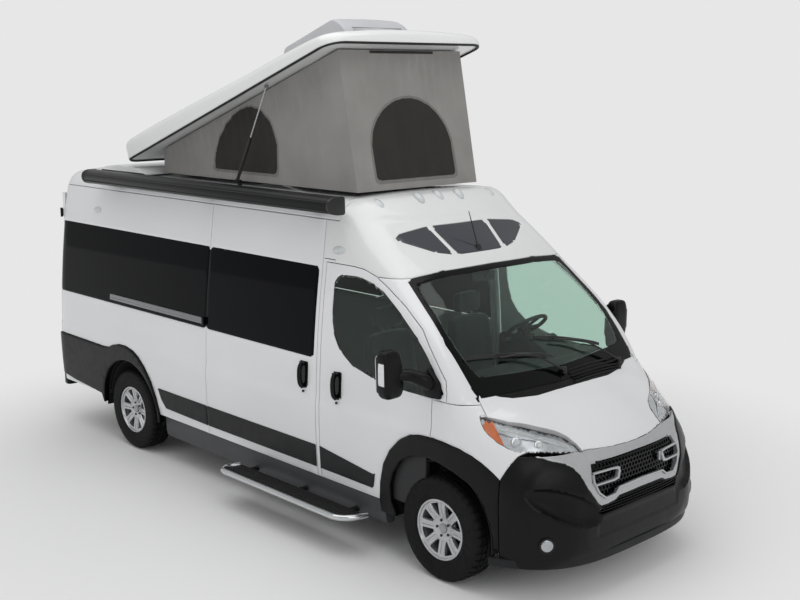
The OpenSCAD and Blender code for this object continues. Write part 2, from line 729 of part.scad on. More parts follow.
tent_gap = 14;
tent_low = curb_top + 1;
tent_outline = [[tent_back, tent_low], [tent_front_low, tent_low],
    lifted(shell_len - 137, shell_low - tent_gap), lifted(455, shell_low - tent_gap)];
module tent() color(CANVAS) at_axle() difference() {
    side_prism(tent_outline, -tent_half, tent_half);
    side_prism([[tent_back + 10, 2000], [tent_front_low - 8, 2000], tent_outline[2] + [-tent_t - 4, 200],
        tent_outline[3] + [8, 200]], -tent_half + tent_t, tent_half - tent_t);
}

// ---- cab interior ----

seat_y = 440;
module cab_seats() color(DARK) at_axle() for (s = [RIGHT, LEFT]) on_side(s) {
    block([-1090, seat_y - 210, sill_z + floor_t], [-640, seat_y + 210, 790]);
    block([-1110, seat_y - 245, 790], [-600, seat_y + 245, 910]);
    side_prism([[-1090, 910], [-960, 910], [-1090, 1520], [-1180, 1500]], seat_y - 235, seat_y + 235);
    side_prism([[-1170, 1520], [-1100, 1520], [-1125, 1700], [-1185, 1690]], seat_y - 140, seat_y + 140);
    side_prism([[-1150, 1505], [-1120, 1505], [-1120, 1530], [-1150, 1530]], seat_y - 60, seat_y + 60);
}
wheel_hub = [-510, 445, 1485];
column_tilt = 38;
module at_column() translate(wheel_hub) rotate([0, -column_tilt, 0]) children();
module dashboard() color(DARK) at_axle() difference() {
    union() {
        side_prism([[-60, 470], [60, 470], [110, 1200], [90, 1300], [-60, 1345], [-250, 1340], [-320, 1290],
            [-310, 1160], [-230, 980], [-120, 900]], 185 - belt_y, belt_y - 185);
        // hood of the instruments
        side_prism([[-330, 1270], [-90, 1300], [-90, 1345], [-340, 1450]], 300, 590);
        at_column() translate([0, 0, -440]) cylinder(h = 375, r = 42, $fn = 48);
    }
    block([-400, -560, 460], [400, 560, 560]);
    for (s = [RIGHT, LEFT]) on_side(s) {
        block([-400, 560, 460], [400, BIG, 870]);
        block([-45, 560, 800], [400, BIG, strut_top_z + 12]);
    }
}
module steering_wheel() color(BLACK) at_axle() at_column() {
    rotate_extrude($fn = 72) translate([182, 0]) circle(r = 15, $fn = 32);
    cylinder(h = 30, r = 60, center = true, $fn = 48);
    translate([0, 0, -58]) cylinder(h = 50, r = 30, $fn = 48);
    for (a = [0, 90, 180]) rotate([0, 0, a]) translate([110, 0, -4]) cube([136, 34, 14], center = true);
}

// ---- running gear ----

module engine_block() color(DARK) at_axle() block([170, -380, 275], [600, 400, 880]);

king_low = [0, 830, 205];
king_tilt = 12.9;
strut_top_z = 1000;
module at_king() translate(king_low) rotate([king_tilt, 0, 0]) children();
module front_subframe() color(BLACK) at_axle() {
    block([-260, -480, 215], [260, 480, 275]);
    for (s = [RIGHT, LEFT]) on_side(s) {
        block([-45, 470, 225], [45, 728, 255]);
        block([-220, 470, 275], [-150, 530, 420]);
        block([-220, 470, 380], [330, 530, sill_z]);
        block([260, 470, 300], [820, 530, 400]);
    }
    block([780, -600, 300], [820, 600, 420]);
    block([819, -110, 408], [front_overhang - bumper_t, 110, 420]);
}
module knuckle(side, track_half) color(GREY) at_axle() on_side(side) {
    intersection() {
        at_king() translate([0, 0, -20]) cylinder(h = 950, r = 28, $fn = 48);
        block([-100, 0, 270], [100, BIG, strut_top_z]);
    }
    block([-50, 735, 265], [50, 805, 520]);
    block([-30, 735, 200], [30, 850, 268]);
    bar_y(0, hub_z, 46, 800, track_half - 70);
    bar_y(0, hub_z, stub_r, track_half - 72, track_half + 20);
}
module knuckle_right() knuckle(RIGHT, front_track_half);
module knuckle_left() knuckle(LEFT, front_track_half);

spring_y = 590;
beam_z = 300;
hub_in_y = 700;
module rear_axle() color(BLACK) at_axle() {
    bar_y(rear_x, beam_z, 40, -hub_in_y, hub_in_y);
    for (s = [RIGHT, LEFT]) on_side(s) {
        block([rear_x - 45, hub_in_y - 40, beam_z - 40], [rear_x + 45, hub_in_y, hub_z + 48]);
        bar_y(rear_x, hub_z, 45, hub_in_y - 20, rear_track_half - 70);
        bar_y(rear_x, hub_z, stub_r, rear_track_half - 72, rear_track_half + 20);
        side_prism([[rear_x - 620, 395], [rear_x - 300, 325], [rear_x, 302], [rear_x + 300, 325],
            [rear_x + 620, 395], [rear_x + 620, 415], [rear_x + 300, 347], [rear_x, 328],
            [rear_x - 300, 347], [rear_x - 620, 415]], spring_y - 30, spring_y + 30);
        for (x = [rear_x - 600, rear_x + 600])
            block([x - 25, spring_y - 30, 400], [x + 25, spring_y + 30, sill_z]);
    }
}
cross_members = [-2400, -1500];
module chassis_frame() color(BLACK) at_axle() {
    for (s = [RIGHT, LEFT]) on_side(s) block([rear_face + 160, 440, 345], [-262, 520, sill_z]);
    for (x = concat([rear_face + 300, rear_x + 700], cross_members))
        block([x - 30, -440, 365], [x + 30, 440, sill_z]);
}
pipe_y = -300;
pipe_z = 308;
pipe_end_x = rear_x + 560;
module exhaust() color(GREY) at_axle() {
    bar([-500, pipe_y, pipe_z], [pipe_end_x, pipe_y, pipe_z], 27);
    bar([-2700, pipe_y, pipe_z], [-3100, pipe_y, pipe_z], 44);
    bar([pipe_end_x, pipe_y, pipe_z], [pipe_end_x - 40, -730, pipe_z], 27);
    translate([pipe_end_x, pipe_y, pipe_z]) sphere(r = 29, $fn = 48);
    for (x = cross_members) block([x - 12, pipe_y - 12, pipe_z + 20], [x + 12, pipe_y + 12, 365]);
}

tyre_edge = 28;
tyre_r = tyre_d / 2;
rim_r = rim_d / 2;
half_tyre = [[tyre_r, tyre_w / 2 - 45], [tyre_r - 12, tyre_w / 2 - tyre_edge], [tyre_r - 60, tyre_w / 2],
    [rim_r + 30, tyre_w / 2], [rim_r, tyre_w / 2 - 12]];
module tyre(x, y) color(BLACK) at_axle() translate([x, y, hub_z]) rotate([-90, 0, 0])
    rotate_extrude($fn = 96) polygon(concat(half_tyre,
        [for (i = [len(half_tyre) - 1:-1:0]) [half_tyre[i][0], -half_tyre[i][1]]]));
rim_face = 62;
module rim(x, y, side) color(SILVER) at_axle() translate([x, y, hub_z]) on_side(side) rotate([-90, 0, 0])
    difference() {
        union() {
            rotate_extrude($fn = 96) translate([rim_r - 14, 14 - tyre_w / 2]) square([14, tyre_w - 28]);
            translate([0, 0, rim_face - 22]) cylinder(h = 22, r = rim_r - 2, $fn = 96);
            translate([0, 0, -40]) cylinder(h = rim_face + 40, r = 62, $fn = 48);
        }
        for (i = [0:spoke_n - 1]) rotate([0, 0, (i + 0.5) * 360 / spoke_n])
            translate([138, 0, 0]) cylinder(h = 200, r = 32, $fn = 32);
        translate([0, 0, -60]) cylinder(h = 60 + 26, r = stub_r + hub_clear, $fn = 96);
    }
module tyre_front_right() tyre(0, -front_track_half);
module tyre_front_left() tyre(0, front_track_half);
module tyre_rear_right() tyre(rear_x, -rear_track_half);
module tyre_rear_left() tyre(rear_x, rear_track_half);
module rim_front_right() rim(0, -front_track_half, RIGHT);
module rim_front_left() rim(0, front_track_half, LEFT);
module rim_rear_right() rim(rear_x, -rear_track_half, RIGHT);
module rim_rear_left() rim(rear_x, rear_track_half, LEFT);

floor_pan();
side_wall_right();
side_wall_left();
roof();
nose_cap();
cab_frame();
windshield();
cowl();
wipers();
front_fenders();
front_bumper();
grille();
headlamps();
rear_bumper();
tail_lamps();
lower_cladding();
sliding_door();
fixed_windows();
awning();
running_board();
hitch_receiver();
hood();
front_door_right();
front_door_left();
front_door_glass_right();
front_door_glass_left();
mirror_right();
mirror_left();
rear_door_right();
rear_door_left();
rear_door_glass_right();
rear_door_glass_left();
poptop_shell();
air_conditioner();
tent();
hinge_brackets();
strut_cylinders();
strut_rods();
cab_seats();
dashboard();
steering_wheel();
engine_block();
front_subframe();
knuckle_right();
knuckle_left();
rear_axle();
chassis_frame();
exhaust();
tyre_front_right();
tyre_front_left();
tyre_rear_right();
tyre_rear_left();
rim_front_right();
rim_front_left();
rim_rear_right();
rim_rear_left();
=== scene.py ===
"""Camper van with a front-lifting pop-top roof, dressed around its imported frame.

Lengths in the classes are metres. A side outline is a list of (x, z) points and a front or rear
outline a list of (y, z) points; x counts from the front axle and z from the ground.
"""
from __future__ import annotations

import logging
import math
import random
from dataclasses import dataclass, field
from enum import Enum
from typing import Callable, Sequence

import bmesh
import bpy
import numpy as np
from mathutils import Matrix, Vector


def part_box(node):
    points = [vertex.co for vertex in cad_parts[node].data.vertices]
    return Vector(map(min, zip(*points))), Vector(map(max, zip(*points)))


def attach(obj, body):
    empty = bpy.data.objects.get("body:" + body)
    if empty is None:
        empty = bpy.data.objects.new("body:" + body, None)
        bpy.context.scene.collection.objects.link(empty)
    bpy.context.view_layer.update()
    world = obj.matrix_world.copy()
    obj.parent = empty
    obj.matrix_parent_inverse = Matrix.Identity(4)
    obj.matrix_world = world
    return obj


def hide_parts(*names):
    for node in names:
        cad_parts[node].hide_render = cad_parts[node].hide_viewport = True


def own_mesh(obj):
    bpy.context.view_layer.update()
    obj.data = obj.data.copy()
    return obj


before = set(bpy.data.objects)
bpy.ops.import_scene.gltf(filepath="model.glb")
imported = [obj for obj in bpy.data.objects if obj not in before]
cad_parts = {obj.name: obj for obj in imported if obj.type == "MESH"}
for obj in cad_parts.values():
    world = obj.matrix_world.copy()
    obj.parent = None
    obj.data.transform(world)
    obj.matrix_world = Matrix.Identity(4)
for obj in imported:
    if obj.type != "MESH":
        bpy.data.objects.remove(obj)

LOG = logging.getLogger("camper")
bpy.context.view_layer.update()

PRISM_EDGE = math.radians(28)  # a prism's edges that turn more than this are rounded

Point2 = tuple[float, float]
Outline = list[Point2]


def box_middle(node: str) -> Vector:
    """The middle of a CAD node's box."""
    low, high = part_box(node)
    return (low + high) / 2


AXLE_X = box_middle("tyre_front_right").x
REAR_AXLE = box_middle("tyre_rear_right").x - AXLE_X
HUB_Z = box_middle("tyre_front_right").z
REAR_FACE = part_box("rear_door_right")[0].x - AXLE_X


class Side(Enum):
    """Which half of the van a piece is made for."""

    RIGHT = -1
    LEFT = 1
    BOTH = 0

    @property
    def word(self) -> str:
        """The side's name as CAD nodes end with it."""
        return self.name.lower()


SIDES = (Side.RIGHT, Side.LEFT)


# ---------------------------------------------------------------- materials


def linear(code: str, alpha: float = 1.0) -> tuple[float, float, float, float]:
    """Turns an sRGB hex colour to linear.

    Args:
        code: the colour as "#rrggbb".
        alpha: the fourth value.
    Returns:
        Linear red, green, blue and alpha.
    """
    parts = [int(code[i:i + 2], 16) / 255 for i in (1, 3, 5)]
    low = [c / 12.92 if c <= 0.04045 else ((c + 0.055) / 1.055) ** 2.4 for c in parts]
    return low[0], low[1], low[2], alpha


def add_node(tree: bpy.types.NodeTree, kind: str, settings: dict | None = None,
             links: dict | None = None) -> bpy.types.Node:
    """Adds a node with its settings and links.

    Args:
        tree: the node tree.
        kind: the node's type.
        settings: attribute names, or socket names and numbers, with their values.
        links: input socket names and numbers, each with the output socket that feeds it.
    Returns:
        The new node.
    """
    made = tree.nodes.new(kind)
    for name, value in (settings or {}).items():
        if isinstance(name, str) and hasattr(made, name):
            setattr(made, name, value)
        else:
            made.inputs[name].default_value = value
    for name, source in (links or {}).items():
        tree.links.new(source, made.inputs[name])
    return made


@dataclass(frozen=True)
class Finish:
    """A surface finish: a Principled shader with a colour variation and a fine relief."""

    name: str
    colour: str
    second: str = ""
    roughness: float = 0.5
    metallic: float = 0.0
    coat: float = 0.0
    sheen: float = 0.0
    ior: float = 1.5
    transmission: float = 0.0
    alpha: float = 1.0
    blotch_mm: float = 120.0
    blotch: float = 0.5
    rough_swing: float = 0.0
    grain_mm: float = 0.0
    grain: float = 0.0
    weave_mm: float = 0.0
    weave: float = 0.0
    emission: float = 0.0

    def make(self) -> bpy.types.Material:
        """Builds the material, once.

        Returns:
            The material.
        """
        if self.name in bpy.data.materials:
            return bpy.data.materials[self.name]
        material = bpy.data.materials.new(self.name)
        material.use_nodes = True
        tree = material.node_tree
        tree.nodes.clear()
        place = add_node(tree, "ShaderNodeTexCoord").outputs["Object"]
        shader = add_node(tree, "ShaderNodeBsdfPrincipled", {
            "Base Color": linear(self.colour), "Roughness": self.roughness,
            "Metallic": self.metallic, "Coat Weight": self.coat, "Coat Roughness": 0.04,
            "Sheen Weight": self.sheen, "IOR": self.ior,
            "Transmission Weight": self.transmission, "Alpha": self.alpha})
        add_node(tree, "ShaderNodeOutputMaterial", links={"Surface": shader.outputs["BSDF"]})
        if self.emission:
            shader.inputs["Emission Color"].default_value = linear(self.colour)
            shader.inputs["Emission Strength"].default_value = self.emission
        if self.second:
            spots = add_node(tree, "ShaderNodeTexNoise", {
                "Scale": 1000 / self.blotch_mm, "Detail": 4.0}, {"Vector": place})
            ramp = add_node(tree, "ShaderNodeMapRange", {
                "From Min": 0.35, "From Max": 0.65, "To Max": self.blotch},
                {"Value": spots.outputs["Fac"]})
            mix = add_node(tree, "ShaderNodeMix", {"data_type": "RGBA", 6: linear(self.colour),
                           7: linear(self.second)}, {0: ramp.outputs["Result"]})
            tree.links.new(mix.outputs[2], shader.inputs["Base Color"])
        if self.rough_swing:
            wear = add_node(tree, "ShaderNodeTexNoise", {
                "Scale": 2500 / self.blotch_mm, "Detail": 6.0}, {"Vector": place})
            swing = add_node(tree, "ShaderNodeMapRange", {
                "From Min": 0.3, "From Max": 0.7, "To Min": self.roughness - self.rough_swing,
                "To Max": self.roughness + self.rough_swing}, {"Value": wear.outputs["Fac"]})
            tree.links.new(swing.outputs["Result"], shader.inputs["Roughness"])
        height = None
        if self.grain:
            height = add_node(tree, "ShaderNodeTexNoise", {
                "Scale": 1000 / self.grain_mm, "Detail": 3.0}, {"Vector": place}).outputs["Fac"]
            height = add_node(tree, "ShaderNodeBump", {
                "Strength": self.grain, "Distance": self.grain_mm / 1000},
                {"Height": height}).outputs["Normal"]
        if self.weave:
            threads = [add_node(tree, "ShaderNodeTexWave", {
                "bands_direction": way, "Scale": 1000 / self.weave_mm / 6.283,
                "Distortion": 0.4, "Detail": 1.0}, {"Vector": place}).outputs["Fac"]
                for way in ("X", "Z")]
            cross = add_node(tree, "ShaderNodeMath", {"operation": "MULTIPLY"},
                             {0: threads[0], 1: threads[1]})
            links = {"Height": cross.outputs[0]}
            if height:
                links["Normal"] = height
            height = add_node(tree, "ShaderNodeBump", {
                "Strength": self.weave, "Distance": self.weave_mm / 2000}, links).outputs["Normal"]
        if height:
            tree.links.new(height, shader.inputs["Normal"])
        return material


# Two-stage acrylic enamel: a bright white under a wet, clear gloss with faint orange peel.
PAINT = Finish("white_clearcoat_enamel", "#e6e7e9", "#dfe0e3", roughness=0.38, coat=1.0,
               blotch_mm=900, grain_mm=3.5, grain=0.015)
# Gel-coated glass fibre: the cap and raised roof, a touch softer in gloss than the enamel.
GELCOAT = Finish("white_gelcoat_fibreglass", "#e5e6e6", "#dddedd", roughness=0.3, coat=0.7,
                 blotch_mm=700, grain_mm=8, grain=0.03)
# Moulded, spark-textured polypropylene: near black with a broad soft highlight.
BLACK_PP = Finish("grained_black_polypropylene", "#050506", "#09090b", roughness=0.36, ior=1.3,
                  blotch_mm=160, rough_swing=0.05, grain_mm=1.6, grain=0.12)
# Felted liner: a dull, deep grey that lets the arch fall into shadow.
LINER_GREY = Finish("felted_arch_liner", "#1b1c1e", "#232426", roughness=0.85, ior=1.35,
                    blotch_mm=90, grain_mm=3.0, grain=0.2)
# Charcoal moulded strip: a greyer cast of the same plastic.
CHARCOAL = Finish("charcoal_moulded_plastic", "#17181a", "#1e1f21", roughness=0.48, ior=1.35,
                  blotch_mm=200, rough_swing=0.05, grain_mm=1.6, grain=0.12)
# Satin sill paint: a mid grey band that lifts off the black above it.
ROCKER_GREY = Finish("satin_grey_sill_paint", "#3b3c3f", "#434548", roughness=0.5,
                     blotch_mm=260, grain_mm=2.0, grain=0.08)
# Gloss acrylic: black with small, crisp highlights.
GLOSS_BLACK = Finish("gloss_black_acrylic", "#060708", "#0a0b0d", roughness=0.16, ior=1.35)
# Privacy glass: almost opaque, black, mirror-smooth.
DARK_GLASS = Finish("privacy_tinted_glass", "#030407", "#06080c", roughness=0.04, ior=1.16,
                    blotch_mm=800)
# Door glass: a clear pane, a shade less green than the windshield.
DOOR_GLASS = Finish("light_tinted_door_glass", "#dbeee5", roughness=0.0, ior=1.25,
                    transmission=1.0)
# Smoked acrylic sky windows: a dark tint, made grey by a painted reflection of the pale sky.
SKY_GLASS_PAINTED_REFLECTION = Finish("smoked_sky_window_acrylic", "#3c3d44", "#46474e", roughness=0.12, ior=1.45,
                   blotch_mm=500)
# Laminated float glass: clear, with the green cast of its iron.
CAB_GLASS = Finish("green_tinted_float_glass", "#cfe4da", roughness=0.0, ior=1.3,
                   transmission=1.0)
# Ceramic frit: the black border baked on the glass, as smooth as the pane.
FRIT = Finish("black_ceramic_frit", "#040505", "#070808", roughness=0.14, ior=1.25)
# Extruded rubber: soft black with hardly any shine.
RUBBER = Finish("black_epdm_rubber", "#0b0b0c", "#121213", roughness=0.62, blotch_mm=60,
                grain_mm=1.0, grain=0.1)
# Chassis wax: uneven black, dull where dust has stuck to it.
UNDERBODY = Finish("black_chassis_wax", "#141415", "#1d1c1b", roughness=0.6, blotch_mm=90,
                   rough_swing=0.15, grain_mm=4.0, grain=0.3)
# Rubbed floor covering: a plain dark floor behind the seats.
FLOOR_GREY = Finish("dark_floor_covering", "#1f2022", "#27282a", roughness=0.7,
                    blotch_mm=140, grain_mm=3.0, grain=0.15)
# Vacuum-aluminised bowl: a pale mirror that sparkles behind the lens.
LAMP_CHROME = Finish("aluminised_lamp_reflector", "#b9bdc0", "#9da1a4", roughness=0.16,
                     metallic=0.85, blotch_mm=60)
# Clear polycarbonate: a hard, colourless glaze over the lamp's bright bowl.
LENS = Finish("clear_polycarbonate_lens", "#ffffff", roughness=0.0, ior=1.3, transmission=1.0)
# Frosted lens: a pale, wet-looking block with a milky core.
LENS_SOLID = Finish("frosted_clear_lamp_lens", "#e6e9ea", "#d4d8da", roughness=0.12, coat=0.8,
                    blotch_mm=20)
# Moulded amber: saturated orange under a clear gloss.
AMBER = Finish("amber_side_reflector", "#d8680f", "#b9520c", roughness=0.2, coat=0.6,
               blotch_mm=18)
# Opal acrylic: nearly the body colour, set off only by its gloss.
LAMP_WHITE = Finish("opal_lamp_lens", "#cfd3d4", "#c2c6c8", roughness=0.22, coat=0.7,
                    blotch_mm=30)
# Moulded red polycarbonate: deep red with a hard shine.
LAMP_RED = Finish("red_polycarbonate_lens", "#7d0a0b", "#98100f", roughness=0.10, coat=0.9,
                  blotch_mm=45)
# Satin silver paint on moulded plastic, with a fine metallic flake.
GRILLE_SILVER = Finish("satin_silver_painted_plastic", "#b6b8ba", "#acaeb0", roughness=0.36,
                       metallic=0.35, coat=0.3, blotch_mm=40)
# Bright foil on plastic: the lightest lines of the grille.
BRIGHT_TRIM = Finish("bright_silver_trim", "#b9bbbd", "#aeb0b2", roughness=0.25, metallic=0.6,
                     blotch_mm=40)
# Anodised rail: a thin grey line across the black glass.
RAIL_SILVER = Finish("anodised_door_rail", "#8d8f91", "#85878a", roughness=0.35, metallic=0.6,
                     blotch_mm=200)
# Powder coat: even black with a fine orange peel.
SATIN_BLACK = Finish("satin_black_powder_coat", "#121214", "#19191b", roughness=0.38,
                     blotch_mm=70, grain_mm=1.2, grain=0.10)
# Silvered glass: a clean reflection, a little darker than the sky.
MIRROR_GLASS = Finish("silvered_mirror_glass", "#c9cccf", "#c3c6c9", roughness=0.02,
                      metallic=1.0, blotch_mm=300)
# Tyre rubber: dull, warm black that greys a little on the shoulders.
TYRE_RUBBER = Finish("carbon_black_tyre_rubber", "#0b0b0c", "#131312", roughness=0.68, ior=1.3,
                     blotch_mm=70, rough_swing=0.08, grain_mm=1.4, grain=0.18)
# Machined and lacquered alloy: a pale satin metal with a broad highlight.
ALLOY = Finish("lacquered_cast_alloy", "#c3c4c6", "#b7b8bb", roughness=0.30, metallic=0.75,
               coat=0.4, blotch_mm=90, grain_mm=1.0, grain=0.02)
# Hub, brake disc and nuts: a dark grey that paints the shade behind the spokes over the castings' own
# grey.
ALLOY_DARK = Finish("brake_and_barrel_grey", "#38393b", "#2b2b2d", roughness=0.5,
                    metallic=0.5, blotch_mm=50)
# Painted cap: a flat grey disc inside the brighter spokes.
CAP_GREY = Finish("satin_grey_centre_cap", "#a4a5a8", "#999a9d", roughness=0.35, metallic=0.4,
                  blotch_mm=30)
# Brushed steel: a bright line with a streaked highlight.
STEEL = Finish("brushed_bright_steel", "#bfc1c3", "#adafb1", roughness=0.28, metallic=1.0,
               blotch_mm=60, rough_swing=0.06)
# Polished tube: long, sharp reflections of the floor and the body.
STAINLESS = Finish("polished_stainless_tube", "#d4d6d8", "#c8cacc", roughness=0.14,
                   metallic=1.0, blotch_mm=120)
# Ribbed rubber: matt black with pale edges on the ribs.
TREAD_BLACK = Finish("ribbed_rubber_tread", "#151516", "#1f1f20", roughness=0.7, blotch_mm=50)
# Anodised case: smooth black with one long soft highlight.
AWNING_BLACK = Finish("black_anodised_awning_case", "#0e0f11", "#131416", roughness=0.38, ior=1.32,
                      blotch_mm=400, grain_mm=1.5, grain=0.03)
# Awning-grade polyester: warm grey cloth, matt, its weave drawn coarser than its real 0.4 mm to show.
CANVAS = Finish("grey_polyester_tent_canvas", "#8d8b88", "#7f7d7a", roughness=0.85, sheen=0.25,
                blotch_mm=240, weave_mm=1.6, weave=0.35)
# Insect mesh: darker and flatter than the cloth; drawn coarser than its real 0.5 mm.
TENT_MESH = Finish("fine_black_insect_mesh", "#26241f", "#1b1a18", roughness=0.8, blotch_mm=160,
                   weave_mm=1.4, weave=0.5)
# Binding tape: a slightly darker line round each window; its threads are drawn coarse to show.
CANVAS_BINDING = Finish("woven_canvas_binding", "#74726f", "#686663", roughness=0.8,
                        sheen=0.2, blotch_mm=60, weave_mm=1.2, weave=0.4)
# Weathered cover: greyer than the shell that it stands on.
AC_PLASTIC = Finish("aged_white_abs_cover", "#b9babd", "#afb0b4", roughness=0.42,
                    blotch_mm=180, grain_mm=2.0, grain=0.05)
# Slats a darker grey than the cover: painted shade of the vent openings, so that the cover reads as
# vented from far away.
VENT_PAINTED_SHADE = Finish("vent_slats_with_painted_shade", "#8a8b8d", "#7f8083", roughness=0.5, blotch_mm=60)
# Woven seat cloth: soft charcoal with a lighter thread, drawn coarser than its real 0.8 mm.
SEAT_CLOTH = Finish("charcoal_woven_seat_cloth", "#2b2b2e", "#38383c", roughness=0.9,
                    sheen=0.4, blotch_mm=50, weave_mm=2.4, weave=0.5)
# Dash skin: soft dark grain without glare.
DASH_VINYL = Finish("soft_grained_dash_vinyl", "#1f2022", "#28292c", roughness=0.6,
                    blotch_mm=120, grain_mm=1.5, grain=0.2)
# Raw castings: rough, patchy grey.
CAST_IRON = Finish("cast_iron_and_alloy", "#3d3c3b", "#4a4846", roughness=0.6, metallic=0.6,
                   blotch_mm=70, rough_swing=0.1, grain_mm=2.5, grain=0.25)
# Pipe browned by heat: straw to grey in patches.
EXHAUST_STEEL = Finish("heat_dulled_exhaust_steel", "#77716b", "#5d554e", roughness=0.45,
                       metallic=0.9, blotch_mm=80, rough_swing=0.1)


# ---------------------------------------------------------------- mesh tools


def corner_arc(centre: Point2, radius: float, start: float, end: float, steps: int) -> Outline:
    """Points along an arc, from one angle in degrees to another."""
    angles = [math.radians(start + (end - start) * i / steps) for i in range(steps + 1)]
    return [(centre[0] + radius * math.cos(a), centre[1] + radius * math.sin(a)) for a in angles]


def rounded(outline: Sequence[Point2], radius: float, steps: int = 4) -> Outline:
    """Rounds every corner of a closed outline.

    Args:
        outline: the corners.
        radius: how far the rounding reaches along each edge, at most.
        steps: how many pieces each corner gets.
    Returns:
        The points of the rounded outline.
    """
    found: Outline = []
    count = len(outline)
    for i, corner in enumerate(outline):
        here = Vector(corner)
        before, after = Vector(outline[i - 1]), Vector(outline[(i + 1) % count])
        reach = min(radius, (before - here).length * 0.45, (after - here).length * 0.45)
        a = here + (before - here).normalized() * reach
        b = here + (after - here).normalized() * reach
        for k in range(steps + 1):
            t = k / steps
            p = a * (1 - t) ** 2 + here * 2 * t * (1 - t) + b * t ** 2
            found.append((p.x, p.y))
    return found


def inside(points: np.ndarray, outline: Sequence[Point2]) -> np.ndarray:
    """Which points lie in a closed outline.

    Args:
        points: one (u, v) row per point.
        outline: the outline.
    Returns:
        One truth value per point.
    """
    x, z = points[:, 0], points[:, 1]
    found = np.zeros(len(points), bool)
    ends = np.array(outline)
    for (x0, z0), (x1, z1) in zip(ends, np.roll(ends, -1, axis=0)):
        crosses = (z0 > z) != (z1 > z)
        slope = (x1 - x0) / (z1 - z0) if z1 != z0 else 0.0
        found ^= crosses & (x < x0 + (z - z0) * slope)
    return found


def curve_value(at: np.ndarray, stations: Sequence[Point2]) -> np.ndarray:
    """A smooth curve through stations, evaluated with cubic pieces.

    Args:
        at: where to evaluate it.
        stations: rising (place, value) pairs.
    Returns:
        The values, held flat past both ends.
    """
    xs, ys = (np.array(v, float) for v in zip(*stations))
    slopes = np.gradient(ys, xs)
    steps = np.diff(ys) / np.diff(xs)
    slopes[1:-1] = np.where(steps[:-1] * steps[1:] <= 0, 0, slopes[1:-1])
    at = np.clip(at, xs[0], xs[-1])
    i = np.clip(np.searchsorted(xs, at, side="right") - 1, 0, len(xs) - 2)
    width = xs[i + 1] - xs[i]
    t = (at - xs[i]) / width
    return ((2 * t ** 3 - 3 * t ** 2 + 1) * ys[i] + (t ** 3 - 2 * t ** 2 + t) * width * slopes[i]
            + (3 * t ** 2 - 2 * t ** 3) * ys[i + 1] + (t ** 3 - t ** 2) * width * slopes[i + 1])


def last_inside(outside: Callable[[np.ndarray], np.ndarray], low: np.ndarray, high: np.ndarray,
                halvings: int = 34) -> np.ndarray:
    """Halves spans until each holds the surface.

    Args:
        outside: tells which values lie outside the surface.
        low: values inside it.
        high: values outside it.
        halvings: how often the spans are halved.
    Returns:
        The last values inside.
    """
    for _ in range(halvings):
        middle = (low + high) / 2
        out = outside(middle)
        low, high = np.where(out, low, middle), np.where(out, middle, high)
    return low


def smooth_max(a: np.ndarray, b: np.ndarray, blend: np.ndarray | float) -> np.ndarray:
    """The larger of two distances, rounded where they meet."""
    near = np.maximum(blend - np.abs(a - b), 0)
    return np.maximum(a, b) + near * near / (4 * blend)


def piece(name: str, bm: bmesh.types.BMesh, finishes: Sequence[Finish], body: str = "root",
          replaces: Sequence[str] = (),
          sharp_deg: float = 38.0) -> bpy.types.Object:
    """Turns a finished bmesh into a piece that rides on a body.

    Args:
        name: the piece's name.
        bm: its mesh, in the van's frame; it is freed.
        finishes: the finishes, in the order of the faces' material numbers.
        body: the CAD body that it moves with.
        replaces: the CAD nodes that it stands for.
        sharp_deg: edges that turn more than this stay sharp.
    Returns:
        The object.
    """
    limit = math.radians(sharp_deg)
    for face in bm.faces:
        face.smooth = True
    for edge in bm.edges:
        edge.smooth = not (edge.is_manifold and edge.calc_face_angle(0.0) > limit)
    mesh = bpy.data.meshes.new(name)
    bm.to_mesh(mesh)
    bm.free()
    obj = bpy.data.objects.new(name, mesh)
    bpy.context.scene.collection.objects.link(obj)
    for finish in finishes:
        mesh.materials.append(finish.make())
    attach(obj, body)
    if replaces:
        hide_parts(*replaces)
    LOG.info("%s: %d faces on %s", name, len(mesh.polygons), body)
    return obj


def dress(node: str, finish: Finish) -> None:
    """Gives a CAD node a better material."""
    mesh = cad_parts[node].data
    mesh.materials.clear()
    mesh.materials.append(finish.make())


def shift(bm: bmesh.types.BMesh, dx: float = 0, dy: float = 0, dz: float = 0) -> None:
    """Moves a whole bmesh."""
    bmesh.ops.translate(bm, verts=bm.verts, vec=(dx, dy, dz))


def mirror_side(bm: bmesh.types.BMesh, side: Side) -> None:
    """Mirrors a left-hand mesh to the right, or joins both halves across the middle.

    Args:
        bm: a mesh of the left half.
        side: the side that is wanted.
    """
    if side is Side.LEFT:
        return
    flip = Matrix.Diagonal((1, -1, 1, 1))
    if side is Side.RIGHT:
        bmesh.ops.transform(bm, matrix=flip, verts=bm.verts)
        bmesh.ops.reverse_faces(bm, faces=bm.faces)
        return
    copy = bmesh.ops.duplicate(bm, geom=[*bm.verts, *bm.edges, *bm.faces])["geom"]
    verts = [g for g in copy if isinstance(g, bmesh.types.BMVert)]
    faces = [g for g in copy if isinstance(g, bmesh.types.BMFace)]
    bmesh.ops.transform(bm, matrix=flip, verts=verts)
    bmesh.ops.reverse_faces(bm, faces=faces)
    middle = [v for v in bm.verts if abs(v.co.y) < 1e-4]
    bmesh.ops.remove_doubles(bm, verts=middle, dist=2e-4)


# ---------------------------------------------------------------- building blocks


def round_edges(bm: bmesh.types.BMesh, edges: Sequence[bmesh.types.BMEdge], radius: float,
                segments: int = 2) -> None:
    """Rounds some edges.

    Args:
        bm: the mesh.
        edges: the edges.
        radius: their radius; nothing happens at 0.
        segments: pieces in each rounded edge.
    """
    if radius:
        bmesh.ops.bevel(bm, geom=edges, offset=radius, segments=segments, profile=0.5,
                        affect="EDGES", material=-1)


